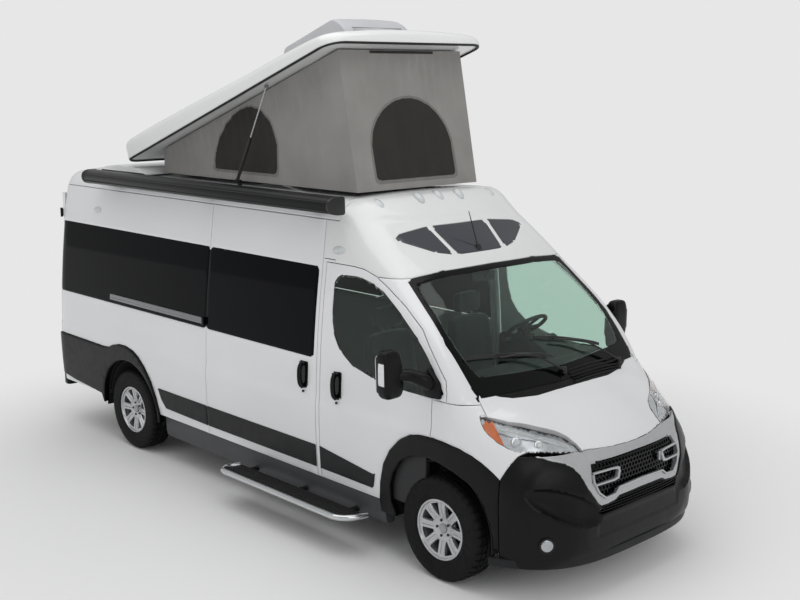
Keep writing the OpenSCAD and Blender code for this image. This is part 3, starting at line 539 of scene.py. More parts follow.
def block(bm: bmesh.types.BMesh, low: Sequence[float], high: Sequence[float], bevel: float = 0.0,
          segments: int = 2, material: int = 0, turn: Matrix | None = None) -> list:
    """Adds a box with rounded edges.

    Args:
        bm: the mesh.
        low: its lowest corner.
        high: its highest corner.
        bevel: the edges' radius.
        segments: pieces in each rounded edge.
        material: the material number.
        turn: a matrix for the finished box.
    Returns:
        The box's vertices.
    """
    middle = [(a + b) / 2 for a, b in zip(low, high)]
    size = [b - a for a, b in zip(low, high)]
    part = bmesh.new()
    bmesh.ops.create_cube(part, size=1, matrix=Matrix.Translation(middle)
                          @ Matrix.Diagonal((*size, 1)))
    round_edges(part, part.edges[:], bevel, segments)
    return add_part(bm, part, material, turn)


def add_part(bm: bmesh.types.BMesh, part: bmesh.types.BMesh, material: int = 0,
             turn: Matrix | None = None) -> list:
    """Moves a small mesh into a bigger one and gives it a material number.

    Args:
        bm: the bigger mesh.
        part: the small mesh; it is freed.
        material: its faces' material number, or -1 to keep theirs.
        turn: a matrix for it.
    Returns:
        Its vertices in the bigger mesh.
    """
    if turn is not None:
        bmesh.ops.transform(part, matrix=turn, verts=part.verts)
    if material >= 0:
        for face in part.faces:
            face.material_index = material
    holder = bpy.data.meshes.new("part")
    part.to_mesh(holder)
    part.free()
    before = len(bm.verts)
    bm.from_mesh(holder)
    bpy.data.meshes.remove(holder)
    bm.verts.ensure_lookup_table()
    return bm.verts[before:]


def rod(bm: bmesh.types.BMesh, start: Sequence[float], end: Sequence[float], radius: float,
        radius_end: float | None = None, segments: int = 16, material: int = 0,
        bevel: float = 0.0) -> None:
    """Adds a straight rod or cone with flat ends.

    Args:
        bm: the mesh.
        start: the middle of its first end.
        end: the middle of its other end.
        radius: its radius, at the start if it tapers.
        radius_end: its radius at the end.
        segments: how many sides it has.
        material: the material number.
        bevel: the radius of its rims.
    """
    a, b = Vector(start), Vector(end)
    part = bmesh.new()
    bmesh.ops.create_cone(part, cap_ends=True, segments=segments, radius1=radius,
                          radius2=radius if radius_end is None else radius_end,
                          depth=(b - a).length)
    rims = [e for e in part.edges if len(e.link_faces) == 2
            and any(len(f.verts) > 4 for f in e.link_faces)]
    round_edges(part, rims, bevel)
    turn = Matrix.Translation((a + b) / 2) @ (b - a).to_track_quat("Z", "X").to_matrix().to_4x4()
    add_part(bm, part, material, turn)


def prism(bm: bmesh.types.BMesh, outline: Outline, axis: int, low: float, high: float,
          bevel: float = 0.0, segments: int = 2, material: int = 0) -> list:
    """Adds an outline's prism.

    Args:
        bm: the mesh.
        outline: the outline in the other two axes, in order.
        axis: the axis it is drawn out along.
        low: where it starts.
        high: where it ends.
        bevel: the radius of its edges.
        segments: pieces in each rounded edge.
        material: the material number.
    Returns:
        Its vertices.
    """
    first, second = ((1, 2), (0, 2), (0, 1))[axis]
    part = bmesh.new()
    verts = []
    for a, b in outline:
        place = [0.0] * 3
        place[first], place[second], place[axis] = a, b, low
        verts.append(part.verts.new(place))
    base = part.faces.new(verts)
    top = bmesh.ops.extrude_face_region(part, geom=[base])["geom"]
    step = [0.0] * 3
    step[axis] = high - low
    bmesh.ops.translate(part, verts=[g for g in top if isinstance(g, bmesh.types.BMVert)],
                        vec=step)
    bmesh.ops.recalc_face_normals(part, faces=part.faces)
    sharp = [e for e in part.edges if e.calc_face_angle(0) > PRISM_EDGE]
    round_edges(part, sharp, bevel, segments)
    return add_part(bm, part, material)


def loft(bm: bmesh.types.BMesh, rings: Sequence[Sequence[bmesh.types.BMVert]],
         closed: bool = False, ends: bool = True) -> None:
    """Joins rings of equally many vertices, each to the next.

    Args:
        bm: the mesh.
        rings: the rings' vertices, in order.
        closed: whether the last ring joins the first.
        ends: whether the first and last rings are filled.
    """
    count = len(rings[0])
    for low, high in list(zip(rings, rings[1:])) + ([(rings[-1], rings[0])] if closed else []):
        for k in range(count):
            bm.faces.new((low[k], low[(k + 1) % count], high[(k + 1) % count], high[k]))
    if ends and not closed:
        bm.faces.new(rings[0][::-1])
        bm.faces.new(rings[-1])
    if ends or closed:
        bmesh.ops.recalc_face_normals(bm, faces=bm.faces)


def sweep(bm: bmesh.types.BMesh, path: Sequence[Sequence[float]], section: Outline,
          up: Sequence[float] = (0, 0, 1), material: int = 0, closed: bool = False,
          taper: Sequence[float] | None = None) -> None:
    """Draws a section along a path.

    Args:
        bm: the mesh.
        path: the path's points.
        section: (sideways, up) points, anticlockwise when seen against the path.
        up: the direction that the section's second axis leans to.
        material: the material number.
        closed: whether the path joins its start.
        taper: a scale for the section at each point.
    """
    points = [Vector(p) for p in path]
    part = bmesh.new()
    rings = []
    for i, point in enumerate(points):
        before = points[i - 1] if i or closed else points[i]
        after = points[(i + 1) % len(points)] if i + 1 < len(points) or closed else points[i]
        along = (after - before).normalized()
        side = along.cross(Vector(up)).normalized()
        lift = side.cross(along).normalized()
        scale = taper[i] if taper else 1.0
        ring = bmesh.ops.create_circle(part, segments=len(section), radius=1)["verts"]
        for vert, (a, b) in zip(ring, section):
            vert.co = point + side * a * scale + lift * b * scale
        rings.append(ring)
    loft(part, rings, closed)
    add_part(bm, part, material)


def oval(width: float, height: float, count: int = 12) -> Outline:
    """An oval section."""
    return [(width / 2 * math.cos(a), height / 2 * math.sin(a))
            for a in (2 * math.pi * i / count for i in range(count))]


def bar(width: float, height: float, radius: float) -> Outline:
    """A rectangular section with rounded corners."""
    w, h = width / 2, height / 2
    return rounded([(-w, -h), (w, -h), (w, h), (-w, h)], radius, 2)


def smooth_path(points: Sequence[Sequence[float]], steps: int = 6) -> list[Vector]:
    """A Catmull-Rom curve through some points.

    Args:
        points: the points.
        steps: pieces between two of them.
    Returns:
        The curve's points.
    """
    pts = [Vector(p) for p in points]
    pts = [pts[0] * 2 - pts[1]] + pts + [pts[-1] * 2 - pts[-2]]
    found = []
    for a, b, c, d in zip(pts, pts[1:], pts[2:], pts[3:]):
        for k in range(steps):
            t = k / steps
            found.append(0.5 * ((2 * b) + (c - a) * t + (2 * a - 5 * b + 4 * c - d) * t * t
                                + (3 * b - a - 3 * c + d) * t ** 3))
    return found + [pts[-2]]


def lift_sheet(bm: bmesh.types.BMesh, height: float | Callable[[Vector], float]) -> None:
    """Moves a sheet out along its normals.

    Args:
        bm: the sheet.
        height: how far, or a function of the place.
    """
    bm.normal_update()
    moves = [(v, v.normal.copy()) for v in bm.verts]
    for vert, normal in moves:
        vert.co += normal * (height(vert.co) if callable(height) else height)


def on_side(bm: bmesh.types.BMesh, side: Side) -> None:
    """Puts a left-hand mesh, drawn from the front axle, on its side of the van."""
    mirror_side(bm, side)
    shift(bm, dx=AXLE_X)


# ---------------------------------------------------------------- the body's skin


class Region(Enum):
    """The panels and panes that the skin is cut into."""

    SCRAP = 0
    SIDE_WALL = 1
    SLIDING = 2
    FRONT_DOOR = 3
    CAB_FRAME = 4
    FENDER = 5
    HOOD = 6
    ROOF = 7
    CAP = 8
    COWL = 9
    REAR_DOOR = 10
    WINDSHIELD = 11
    WINDSHIELD_FRIT = 12
    CAB_PANE = 13
    CAB_SEAL = 14
    REAR_PANE = 15
    SLIDE_PANE = 16
    SKY_PANE = 17
    REAR_DOOR_PANE = 18
    LAMP = 19
    TAIL_LAMP = 20
    CLADDING = 21
    BUMPER = 22
    SURROUND = 23
    MESH = 24
    INTAKE = 25


@dataclass
class Skin:
    """The van's outer surface: one smooth half, cut along every seam and sorted into regions."""

    half: float = 1.025
    roof: float = 2.548
    sill: float = 0.432
    seam_z: float = 2.385
    cab_back: float = -1.258
    pillar: float = -1.300
    slide_back: float = -2.760
    cap_seam: float = -1.160
    arch: float = 0.455
    trim: float = 0.580
    door_front: float = -0.074
    belt: float = 1.283
    cap_low: float = 2.03
    pillar_top: float = 2.10
    rear_turn: float = 0.070
    sides: list[Point2] = field(default_factory=lambda: [
        (0.20, 1.000), (0.43, 1.008), (0.70, 1.021), (1.00, 1.025), (1.30, 1.016), (1.60, 0.992),
        (1.95, 0.951), (2.20, 0.916), (2.385, 0.888), (2.60, 0.848), (3.00, 0.770)])
    centre: list[Point2] = field(default_factory=lambda: [
        (-6.0, 2.548), (-1.45, 2.548), (-1.20, 2.547), (-1.09, 2.535), (-1.02, 2.505),
        (-0.94, 2.438), (-0.86, 2.368), (-0.808, 2.327), (-0.573, 2.140), (-0.470, 2.056),
        (-0.445, 2.035), (-0.26, 1.885), (-0.081, 1.735), (0.08, 1.570), (0.24, 1.385),
        (0.30, 1.318), (0.34, 1.286), (0.50, 1.209), (0.70, 1.093), (0.80, 1.024),
        (0.845, 0.985), (0.90, 0.945), (0.96, 0.900), (1.05, 0.820), (1.20, 0.660)])
    sweep: list[Point2] = field(default_factory=lambda: [
        (-1.40, 0.0), (-1.05, 0.05), (-0.75, 0.065), (-0.45, 0.08), (0.30, 0.09), (0.50, 0.13),
        (0.70, 0.20), (0.88, 0.27)])
    crown: list[Point2] = field(default_factory=lambda: [
        (-1.60, 0.048), (-1.10, 0.035), (-0.60, 0.0), (0.25, 0.0), (0.45, 0.03), (0.85, 0.0)])
    nose: list[Point2] = field(default_factory=lambda: [
        (-0.10, 0.0), (0.15, 0.004), (0.30, 0.015), (0.45, 0.038), (0.60, 0.088), (0.70, 0.150),
        (0.80, 0.270), (0.90, 0.450)])
    face: list[Point2] = field(default_factory=lambda: [
        (0.25, 0.885), (0.29, 0.912), (0.34, 0.937), (0.40, 0.948), (0.56, 0.950), (0.64, 0.940),
        (0.72, 0.928), (0.80, 0.917), (0.88, 0.907), (0.94, 0.897), (1.00, 0.880), (1.20, 0.820)])
    face_sweep: list[Point2] = field(default_factory=lambda: [
        (0.0, 0.0), (0.15, 0.001), (0.30, 0.006), (0.50, 0.028), (0.70, 0.082), (0.80, 0.130),
        (0.90, 0.215), (1.00, 0.400), (1.05, 0.60)])
    round_by: list[Point2] = field(default_factory=lambda: [
        (-6.0, 0.15), (-1.30, 0.14), (-0.95, 0.20), (-0.60, 0.16), (-0.30, 0.11), (0.10, 0.12),
        (0.32, 0.24), (0.90, 0.26)])

    def __post_init__(self) -> None:
        """Makes the outlines, the smooth skin and its cut copies."""
        self.outline_side()
        self.outline_glass()
        self.outline_nose()
        self.outline_arches()
        self.outline_ends()
        self.raw = self.build()
        self.bm = self.raw.copy()
        self.cut(self.bm)
        self.sort(self.bm)
        self.fascia = self.build_fascia()
        self.rear = self.build_rear()

    def outline_side(self) -> None:
        """Draws the front door and the panes of the side."""
        door_top = [(0.060, 1.282), (0.060, 1.340), (0.040, 1.425), (-0.221, 1.730),
                    (-0.400, 1.860), (-0.600, 1.975), (-0.720, 2.035), (-0.840, 2.068),
                    (-0.950, 2.076), (self.cab_back, 2.076)]
        self.door = [(self.cab_back, 0.30), (self.door_front, 0.30),
                     (self.door_front, 1.282)] + door_top
        self.cab_window = rounded([
            (-1.150, 1.700), (-1.118, 1.560), (-1.040, 1.452), (-0.900, 1.368), (-0.641, 1.308),
            (-0.382, 1.290), (-0.010, 1.290), (0.030, 1.340), (-0.110, 1.530), (-0.270, 1.685),
            (-0.437, 1.812), (-0.600, 1.922), (-0.720, 1.975), (-0.882, 2.008), (-1.080, 2.000),
            (-1.152, 1.960)], 0.04, 3)
        self.rear_window = rounded([
            (REAR_FACE + 0.072, 1.350), (self.slide_back, 1.350), (self.slide_back, 2.030),
            (REAR_FACE + 0.072, 2.030)], 0.05)
        self.slide_window = rounded([
            (self.slide_back, 1.350), (self.pillar - 0.040, 1.350),
            (self.pillar - 0.040, 2.030), (self.slide_back, 2.030)], 0.05)

    def outline_glass(self) -> None:
        """Draws the windshield, its clear part and the sky windows."""
        self.windshield = rounded([
            (-0.1, 1.318), (0.862, 1.318), (0.872, 1.380), (0.884, 1.640), (0.826, 2.026),
            (0.50, 2.048), (-0.1, 2.056)], 0.05)
        self.clear_glass = rounded([
            (-0.1, 1.400), (0.790, 1.430), (0.835, 1.640), (0.792, 1.992), (0.50, 2.014),
            (-0.1, 2.022)], 0.07)
        self.sky_middle = rounded([(-0.1, 2.135), (0.240, 2.135), (0.290, 2.325),
                                   (-0.1, 2.325)], 0.03)
        self.sky_outer = rounded([(0.285, 2.138), (0.430, 2.162), (0.655, 2.250), (0.672, 2.275),
                                  (0.600, 2.298), (0.330, 2.325)], 0.03)

    def outline_nose(self) -> None:
        """Draws the edges of the hood, the headlamp and the fender."""
        self.hood_rear = [(-0.1, 1.284), (0.20, 1.282), (0.40, 1.276), (0.60, 1.288),
                          (0.70, 1.309), (0.810, 1.356), (0.862, 1.318), (0.880, 1.222), (1.2, 1.222)]
        self.hood_side = [(0.15, 1.245), (0.284, 1.220), (0.50, 0.998), (0.776, 0.994),
                          (0.845, 0.984), (0.95, 0.970)]
        self.lamp_in = [(0.20, 0.990), (0.284, 0.912), (0.420, 0.787), (0.535, 0.640),
                        (0.605, 0.520), (0.650, 0.478), (0.717, 0.454), (0.776, 0.447),
                        (0.90, 0.440)]
        self.lamp_side = [(0.20, 1.300), (0.284, 1.216), (0.330, 1.155), (0.376, 1.111),
                          (0.443, 1.069), (0.530, 1.030), (0.575, 1.017), (0.62, 1.012)]
        self.lamp_front = [(0.40, 0.984), (0.451, 0.988), (0.578, 1.005), (0.712, 1.024),
                           (0.800, 1.030), (0.90, 1.030)]
        self.fender_front = [(0.600, 1.20), (0.600, 1.026), (0.567, 0.998), (0.540, 0.933),
                             (0.505, 0.845), (0.503, 0.20)]

    def outline_arches(self) -> None:
        """Draws the arch cladding and the wheel openings."""
        self.front_clad = [(-0.575, 0.20), (-0.575, 0.370), (-0.588, 0.446), (-0.575, 0.574),
                           (-0.536, 0.723), (-0.469, 0.838), (-0.374, 0.932), (-0.271, 0.989),
                           (-0.171, 1.012), (-0.060, 1.018), (0.044, 1.014), (0.178, 0.997),
                           (0.288, 0.969), (0.373, 0.933), (0.443, 0.889), (0.505, 0.845),
                           (0.503, 0.20)]
        self.front_open = [(-0.425, 0.20), (-0.421, 0.374), (-0.465, 0.454), (-0.468, 0.574),
                           (-0.431, 0.683), (-0.355, 0.786), (-0.242, 0.850), (-0.102, 0.872),
                           (0.020, 0.862), (0.153, 0.828), (0.266, 0.782), (0.345, 0.722),
                           (0.400, 0.650), (0.440, 0.540), (0.455, 0.440), (0.455, 0.20)]
        back = REAR_FACE
        self.rear_clad = [(back - 0.2, 0.530), (back + 0.05, 0.505), (-5.071, 0.470),
                          (-4.817, 0.452), (-4.560, 0.430), (-4.45, 0.20), (-3.531, 0.20),
                          (-3.531, 0.429), (-3.578, 0.575), (-3.644, 0.718), (-3.741, 0.830),
                          (-3.844, 0.913), (-3.945, 0.958), (-4.060, 0.978), (-4.180, 0.976),
                          (-4.290, 0.950), (-4.380, 0.915), (-4.460, 0.910), (back - 0.2, 0.925)]
        self.rear_open = corner_arc((REAR_AXLE, HUB_Z), 0.472, 0, 180, 24)
        self.rear_open = [(REAR_AXLE + 0.472, 0.2)] + self.rear_open + [(REAR_AXLE - 0.472, 0.2)]

    def outline_ends(self) -> None:
        """Draws the bumper's edge, the grille's openings, the rear door and the tail lamp."""
        self.bumper_top = [(0.99, 1.018), (0.827, 1.018), (0.768, 0.993), (0.703, 0.965),
                           (0.628, 0.943), (0.588, 0.915), (0.563, 0.871), (0.527, 0.778),
                           (0.462, 0.681), (0.430, 0.645), (0.380, 0.645), (0.290, 0.655),
                           (0.245, 0.675), (-0.1, 0.680)]
        self.mesh_hole = rounded([(-0.1, 0.936), (0.40, 0.930), (0.462, 0.918), (0.476, 0.880),
                                  (0.480, 0.812), (0.443, 0.735), (0.385, 0.692), (0.288, 0.700),
                                  (0.246, 0.733), (-0.1, 0.742)], 0.015, 2)
        self.intake = rounded([(-0.1, 0.598), (0.42, 0.585), (0.445, 0.600), (0.41, 0.632),
                               (0.30, 0.640), (0.24, 0.658), (-0.1, 0.662)], 0.01, 2)
        self.rear_door = [(0.0, 0.545), (0.897, 0.545), (0.897, 2.300), (0.0, 2.300)]
        self.rear_pane = rounded([(0.085, 1.352), (0.800, 1.352), (0.800, 2.010),
                                  (0.085, 2.010)], 0.05)
        self.tail_lamp = rounded([(0.915, 0.925), (1.10, 0.925), (1.10, 1.450),
                                  (0.915, 1.450)], 0.02)

    def side_at(self, x: np.ndarray, z: np.ndarray) -> np.ndarray:
        """Half the body's width at a place along it and a height, with the rising body line.

        Args:
            x: places along the body.
            z: heights.
        Returns:
            The half widths.
        """
        line = 1.035 + 0.02 * np.clip(x + 1.0, -0.5, 1.0)
        ridge = 0.011 * (0.5 - 0.5 * np.tanh((z - line) / 0.020))
        ridge *= np.clip((0.35 - x) / 0.3, 0, 1)
        blunt = 1 - 0.25 * np.clip((0.98 - z) / 0.35, 0, 1)
        return (curve_value(z, self.sides) - curve_value(x, self.nose) * blunt
                + ridge - 0.006 + 0.006 * np.clip((z - 2.0) / 0.3, 0, 1))

    def top_at(self, x: np.ndarray, y: np.ndarray) -> np.ndarray:
        """Height of the roof, windshield and hood at a place.

        Args:
            x: places along the body.
            y: places across it.
        Returns:
            The heights.
        """
        t = y / 0.86
        swept = x + curve_value(x, self.sweep) * t * t
        ridge = 0.014 * np.exp(-((y - 0.66) / 0.13) ** 2) * np.clip((x - 0.30) / 0.1, 0, 1)
        lip = 0.008 * (1 - np.tanh((swept + 0.856 + 0.10 * t * t) / 0.012)) * (swept > -1.3)
        lip *= np.clip((swept + 1.20) / 0.15, 0, 1) * np.clip((0.80 - y) / 0.1, 0, 1)
        valley = -0.010 * np.exp(-((y - 0.42) / 0.16) ** 2) * np.clip((x - 0.35) / 0.1, 0, 1)
        return curve_value(swept, self.centre) - curve_value(x, self.crown) * y * y \
            + (ridge + valley) * np.clip((0.86 - x) / 0.15, 0, 1) + lip

    def distance(self, x: np.ndarray, y: np.ndarray, z: np.ndarray) -> np.ndarray:
        """Signed distance outside the body, near enough for finding its surface.

        Args:
            x: places along the body.
            y: places across it.
            z: heights.
        Returns:
            The distances.
        """
        side = y - self.side_at(x, z)
        slope = (self.top_at(x + 0.005, y) - self.top_at(x - 0.005, y)) / 0.01
        top = (z - self.top_at(x, y)) / np.sqrt(1 + slope * slope)
        body = smooth_max(side, top, curve_value(x, self.round_by))
        ahead = (x - curve_value(z, self.face) + curve_value(y, self.face_sweep)) * 0.85
        body = np.where(x > 0.2, smooth_max(body, ahead, 0.05), body)
        rear = REAR_FACE - x + 0.010 * (y / 0.9) ** 2 + 0.045 * np.clip((z - 2.0) / 0.5, 0, 1) ** 2
        return smooth_max(body, rear, 0.13)

    def surface(self, x: np.ndarray, start: np.ndarray, aim: np.ndarray) -> np.ndarray:
        """Finds the surface along rays in cross-sections.

        Args:
            x: the sections' places.
            start: (y, z) inside the body for each ray.
            aim: (y, z) that each ray passes through.
        Returns:
            (y, z) on the surface for each ray.
        """
        def outside(share: np.ndarray) -> np.ndarray:
            """Which rays have left the body at these shares of their aim."""
            at = start + (aim - start) * share[..., None]
            return self.distance(x, at[..., 0], at[..., 1]) > 0

        share = last_inside(outside, np.full(x.shape, 0.05), np.full(x.shape, 1.6))
        return start + (aim - start) * share[..., None]

    def build(self) -> bmesh.types.BMesh:
        """Makes the smooth left half and closes its rear face.

        Returns:
            The uncut half skin.
        """
        stations = np.concatenate([
            REAR_FACE + np.array([0.001, 0.006, 0.016, 0.032, 0.055, 0.085, 0.125, 0.18]),
            np.arange(REAR_FACE + 0.26, -1.36, 0.075), np.arange(-1.30, 0.62, 0.0225),
            np.arange(0.62, 0.89, 0.0125)])
        tops, flanks = 30, 74
        across = np.concatenate([np.linspace(0, 1, tops, endpoint=False), np.ones(flanks)])
        down = np.concatenate([np.zeros(tops), np.linspace(0, 1, flanks)])
        x, u = np.meshgrid(stations, across, indexing="ij")
        v = np.broadcast_to(down, x.shape)
        peak = self.top_at(x, np.zeros_like(x)) + 0.02
        middle = np.interp(x, (-5.4, -0.6, 0.3, 0.93), (1.45, 1.35, 0.95, 0.55))
        aim = np.stack([u * 0.93, peak - v * (peak - 0.38)], axis=-1)
        start = np.stack([np.zeros_like(x), middle], axis=-1)
        found = self.surface(x, start, aim)
        bm = bmesh.new()
        rows, columns = x.shape
        bmesh.ops.create_grid(bm, x_segments=columns - 1, y_segments=rows - 1, size=1)
        bm.verts.ensure_lookup_table()
        order = sorted(bm.verts, key=lambda w: (round(w.co.y, 5), round(w.co.x, 5)))
        for i, vert in enumerate(order):
            row, column = divmod(i, columns)
            vert.co = (x[row, column], found[row, column, 0], found[row, column, 1])
        self.close_rear([order[i] for i in range(columns)], bm)
        bmesh.ops.recalc_face_normals(bm, faces=bm.faces)
        roof = max(bm.faces, key=lambda f: f.calc_center_median().z)
        if roof.normal.z < 0:
            bmesh.ops.reverse_faces(bm, faces=bm.faces)
        return bm

    def close_rear(self, ring: list[bmesh.types.BMVert], bm: bmesh.types.BMesh) -> None:
        """Fills the rear face with rings that shrink to the foot of the middle line.

        Args:
            ring: the rear edge's vertices, from the roof to the sill.
            bm: the half skin.
        """
        full = [w.co.copy() for w in ring]
        foot = full[-1].z
        for share in (0.93, 0.84, 0.74, 0.63, 0.51, 0.38, 0.24, 0.12, 0.0):
            edges = [bm.edges.get((a, b)) for a, b in zip(ring, ring[1:])]
            new = bmesh.ops.extrude_edge_only(bm, edges=edges)["geom"]
            fresh = [g for g in new if isinstance(g, bmesh.types.BMVert)]
            fresh.sort(key=lambda w: min(range(len(ring)), key=lambda i: (w.co - ring[i].co).length))
            for vert, base in zip(fresh, full):
                y, z = base.y * share, foot + (base.z - foot) * share
                belly = max(0.0, 1 - (y / 0.95) ** 2) * max(0.0, 1 - ((z - 1.45) / 1.1) ** 2)
                vert.co = (REAR_FACE + 0.001 - 0.010 * belly, y, z)
            ring = fresh

    def cut(self, bm: bmesh.types.BMesh) -> None:
        """Cuts the skin along every seam and outline.

        Args:
            bm: the half skin.
        """
        def along(points: Outline, axis: int, keep: Callable[[Vector], bool],
                  closed: bool = True) -> None:
            """Cuts this skin along one outline."""
            self.cut_outline(bm, points, axis, keep, closed)

        def side(low_x: float, high_x: float) -> Callable[[Vector], bool]:
            """A test for the flank between two places."""
            return lambda c: low_x < c.x < high_x and c.y > 0.3

        for z in (self.sill, self.seam_z):
            self.cut_plane(bm, (0, 0, z), (0, 0, 1), lambda c, z=z: abs(c.z - z) < 0.2 and c.x < 1)
        for x in (self.cab_back, self.pillar, self.slide_back, self.cap_seam):
            self.cut_plane(bm, (x, 0, 0), (1, 0, 0), lambda c, x=x: abs(c.x - x) < 0.2)
        for z in (self.cap_low, self.pillar_top):
            self.cut_plane(bm, (0, 0, z), (0, 0, 1),
                           lambda c, z=z: abs(c.z - z) < 0.1 and -1.32 < c.x < 0 and c.y > 0.4)
        self.cut_plane(bm, (0, 0, self.belt), (0, 0, 1),
                       lambda c: abs(c.z - self.belt) < 0.1 and -0.1 < c.x < 0.4 and c.y > 0.6)
        along(self.door, 1, side(-1.4, 0.3))
        along(self.cab_window, 1, side(-1.3, 0.2))
        along(self.rear_window, 1, side(REAR_FACE + 0.03, -2.6))
        along(self.slide_window, 1, side(-2.9, -1.2))
        along(self.hood_side, 1, lambda c: c.x > 0.1, False)
        along(self.lamp_in, 2, lambda c: c.x > 0.2 and c.z > 0.9, False)
        along(self.lamp_side, 1, lambda c: 0.2 < c.x < 0.62 and c.y > 0.6, False)
        along(self.lamp_front, 0, lambda c: c.x > 0.54 and c.y > 0.4, False)
        along(self.fender_front, 1, lambda c: c.x > 0.3, False)
        for ring in (self.front_clad, self.front_open):
            along(ring, 1, side(-0.8, 0.8))
        for ring in (self.rear_clad, self.rear_open):
            along(ring, 1, lambda c: c.x < -3.3 and c.y > 0.9)
        for ring in (self.windshield, self.clear_glass):
            along(ring, 0, lambda c: -0.75 < c.x < 0.45)
        for ring in (self.sky_middle, self.sky_outer):
            along(ring, 0, lambda c: -0.95 < c.x < -0.35)
        along(self.hood_rear, 0, lambda c: 0.1 < c.x < 0.5, False)
        for ring in (self.rear_door, self.rear_pane, self.tail_lamp):
            along(ring, 0, lambda c: c.x < REAR_FACE + 0.075)
        self.cut_plane(bm, (REAR_FACE + self.rear_turn, 0, 0), (1, 0, 0), lambda c: c.x < REAR_FACE + 0.3)
        bmesh.ops.remove_doubles(bm, verts=bm.verts, dist=4e-4)
        bmesh.ops.dissolve_degenerate(bm, edges=bm.edges, dist=2e-4)

    @staticmethod
    def cut_plane(bm: bmesh.types.BMesh, place: Sequence[float], normal: Sequence[float],
                  keep: Callable[[Vector], bool]) -> None:
        """Cuts the faces that pass a test with a plane.

        Args:
            bm: the skin.
            place: a point of the plane.
            normal: its normal.
            keep: which faces may be cut, by their middles.
        """
        faces = [f for f in bm.faces if keep(f.calc_center_median())]
        geom = [*{v for f in faces for v in f.verts}, *{e for f in faces for e in f.edges}, *faces]
        bmesh.ops.bisect_plane(bm, geom=geom, dist=2e-4, plane_co=place, plane_no=normal)

    @staticmethod
    def cut_outline(bm: bmesh.types.BMesh, points: Outline, axis: int,
                    keep: Callable[[Vector], bool], closed: bool) -> None:
        """Cuts the skin along an outline that is seen along X or Y.

        Args:
            bm: the skin.
            points: the outline.
            axis: the axis it is seen along: 0 for (y, z), 1 for (x, z) and 2 for (x, y).
            keep: which faces may be cut, by their middles.
            closed: whether the last point joins the first.
        """
        first, second = ((1, 2), (0, 2), (0, 1))[axis]
        faces = {f for f in bm.faces if keep(f.calc_center_median())}
        boxes: dict = {}

        def reach(f: bmesh.types.BMFace) -> tuple:
            """The face's box in the outline's view, worked out once."""
            if f not in boxes:
                us = [v.co[first] for v in f.verts]
                vs = [v.co[second] for v in f.verts]
                boxes[f] = (min(us), max(us), min(vs), max(vs))
            return boxes[f]

        ends = points + points[:1] if closed else points
        for (u0, v0), (u1, v1) in zip(ends, ends[1:]):
            if abs(u1 - u0) + abs(v1 - v0) < 1e-6:
                continue
            pad = 0.0006
            low_u, high_u = min(u0, u1) - pad, max(u0, u1) + pad
            low_v, high_v = min(v0, v1) - pad, max(v0, v1) + pad
            hit = [f for f in faces if f.is_valid and reach(f)[0] <= high_u and reach(f)[1] >= low_u
                   and reach(f)[2] <= high_v and reach(f)[3] >= low_v]
            if not hit:
                continue
            place, normal = [0.0] * 3, [0.0] * 3
            place[first], place[second] = u0, v0
            normal[first], normal[second] = -(v1 - v0), u1 - u0
            geom = [*{v for f in hit for v in f.verts}, *{e for f in hit for e in f.edges}, *hit]
            made = bmesh.ops.bisect_plane(bm, geom=geom, dist=2e-4, plane_co=place, plane_no=normal)
            fresh = {g for g in made["geom"] if isinstance(g, bmesh.types.BMFace)}
            for f in fresh:
                boxes.pop(f, None)
            faces = {f for f in faces if f.is_valid} | fresh

    def sort(self, bm: bmesh.types.BMesh) -> None:
        """Writes each face's region into its material number.

        Args:
            bm: the cut half skin.
        """
        faces = list(bm.faces)
        at = np.array([f.calc_center_median() for f in faces])
        x, y, z = at.T
        seen, front = at[:, [0, 2]], at[:, [1, 2]]
        found = np.full(len(faces), Region.SIDE_WALL.value)

        def put(region: Region, where: np.ndarray) -> None:
            """Gives some faces a region."""
            found[where] = region.value

        rear = x < REAR_FACE + self.rear_turn - 0.001
        put(Region.SLIDING, (x > self.slide_back) & (x < self.pillar))
        put(Region.REAR_PANE, inside(seen, self.rear_window) & (y > 0.5))
        put(Region.SLIDE_PANE, inside(seen, self.slide_window) & (y > 0.5))
        put(Region.ROOF, (z > self.seam_z) & (x < self.pillar))
        put(Region.ROOF, (z > self.seam_z) & (x < self.cap_seam))
        ahead = x > self.pillar
        put(Region.CAB_FRAME, ahead & (z < self.seam_z))
        put(Region.CAP, (x > self.cap_seam) & (z > self.cap_low))
        put(Region.CAP, ahead & (z > self.pillar_top))
        put(Region.ROOF, (z > self.seam_z) & (x < self.cap_seam))
        door = inside(seen, self.door) & (y > 0.5)
        put(Region.FENDER, (x > self.door_front) & (z < self.belt) & ~door)
        below = self.under_line(x, z, self.hood_side)
        behind = self.under_line(y, z, self.hood_rear, above=True)
        lamp = self.in_lamp(at)
        inboard = ~self.under_line(x, y, self.lamp_in, above=True)
        put(Region.HOOD, (x > 0.2) & ~below & ~behind & (z < 1.40) & (inboard | (x < 0.284)))
        put(Region.COWL, (x > 0.1) & behind & (z < 1.319) & (y < 0.87))
        put(Region.FRONT_DOOR, door)
        put(Region.CAB_PANE, inside(seen, self.cab_window) & (y > 0.5) & door)
        glass = inside(front, self.windshield) & (x > -0.75) & (z > 1.318)
        put(Region.WINDSHIELD_FRIT, glass)
        put(Region.WINDSHIELD, glass & inside(front, self.clear_glass))
        sky = (inside(front, self.sky_middle) | inside(front, self.sky_outer)) & (x > -0.95)
        put(Region.SKY_PANE, sky)
        put(Region.LAMP, lamp)
        taken = (found == Region.LAMP.value) | (found == Region.HOOD.value)
        put(Region.SCRAP, self.past_fender(x, z) & (x > 0.48) & ~taken)
        put(Region.CLADDING, (y > 0.5) & (inside(seen, self.front_clad) | inside(seen, self.rear_clad)))
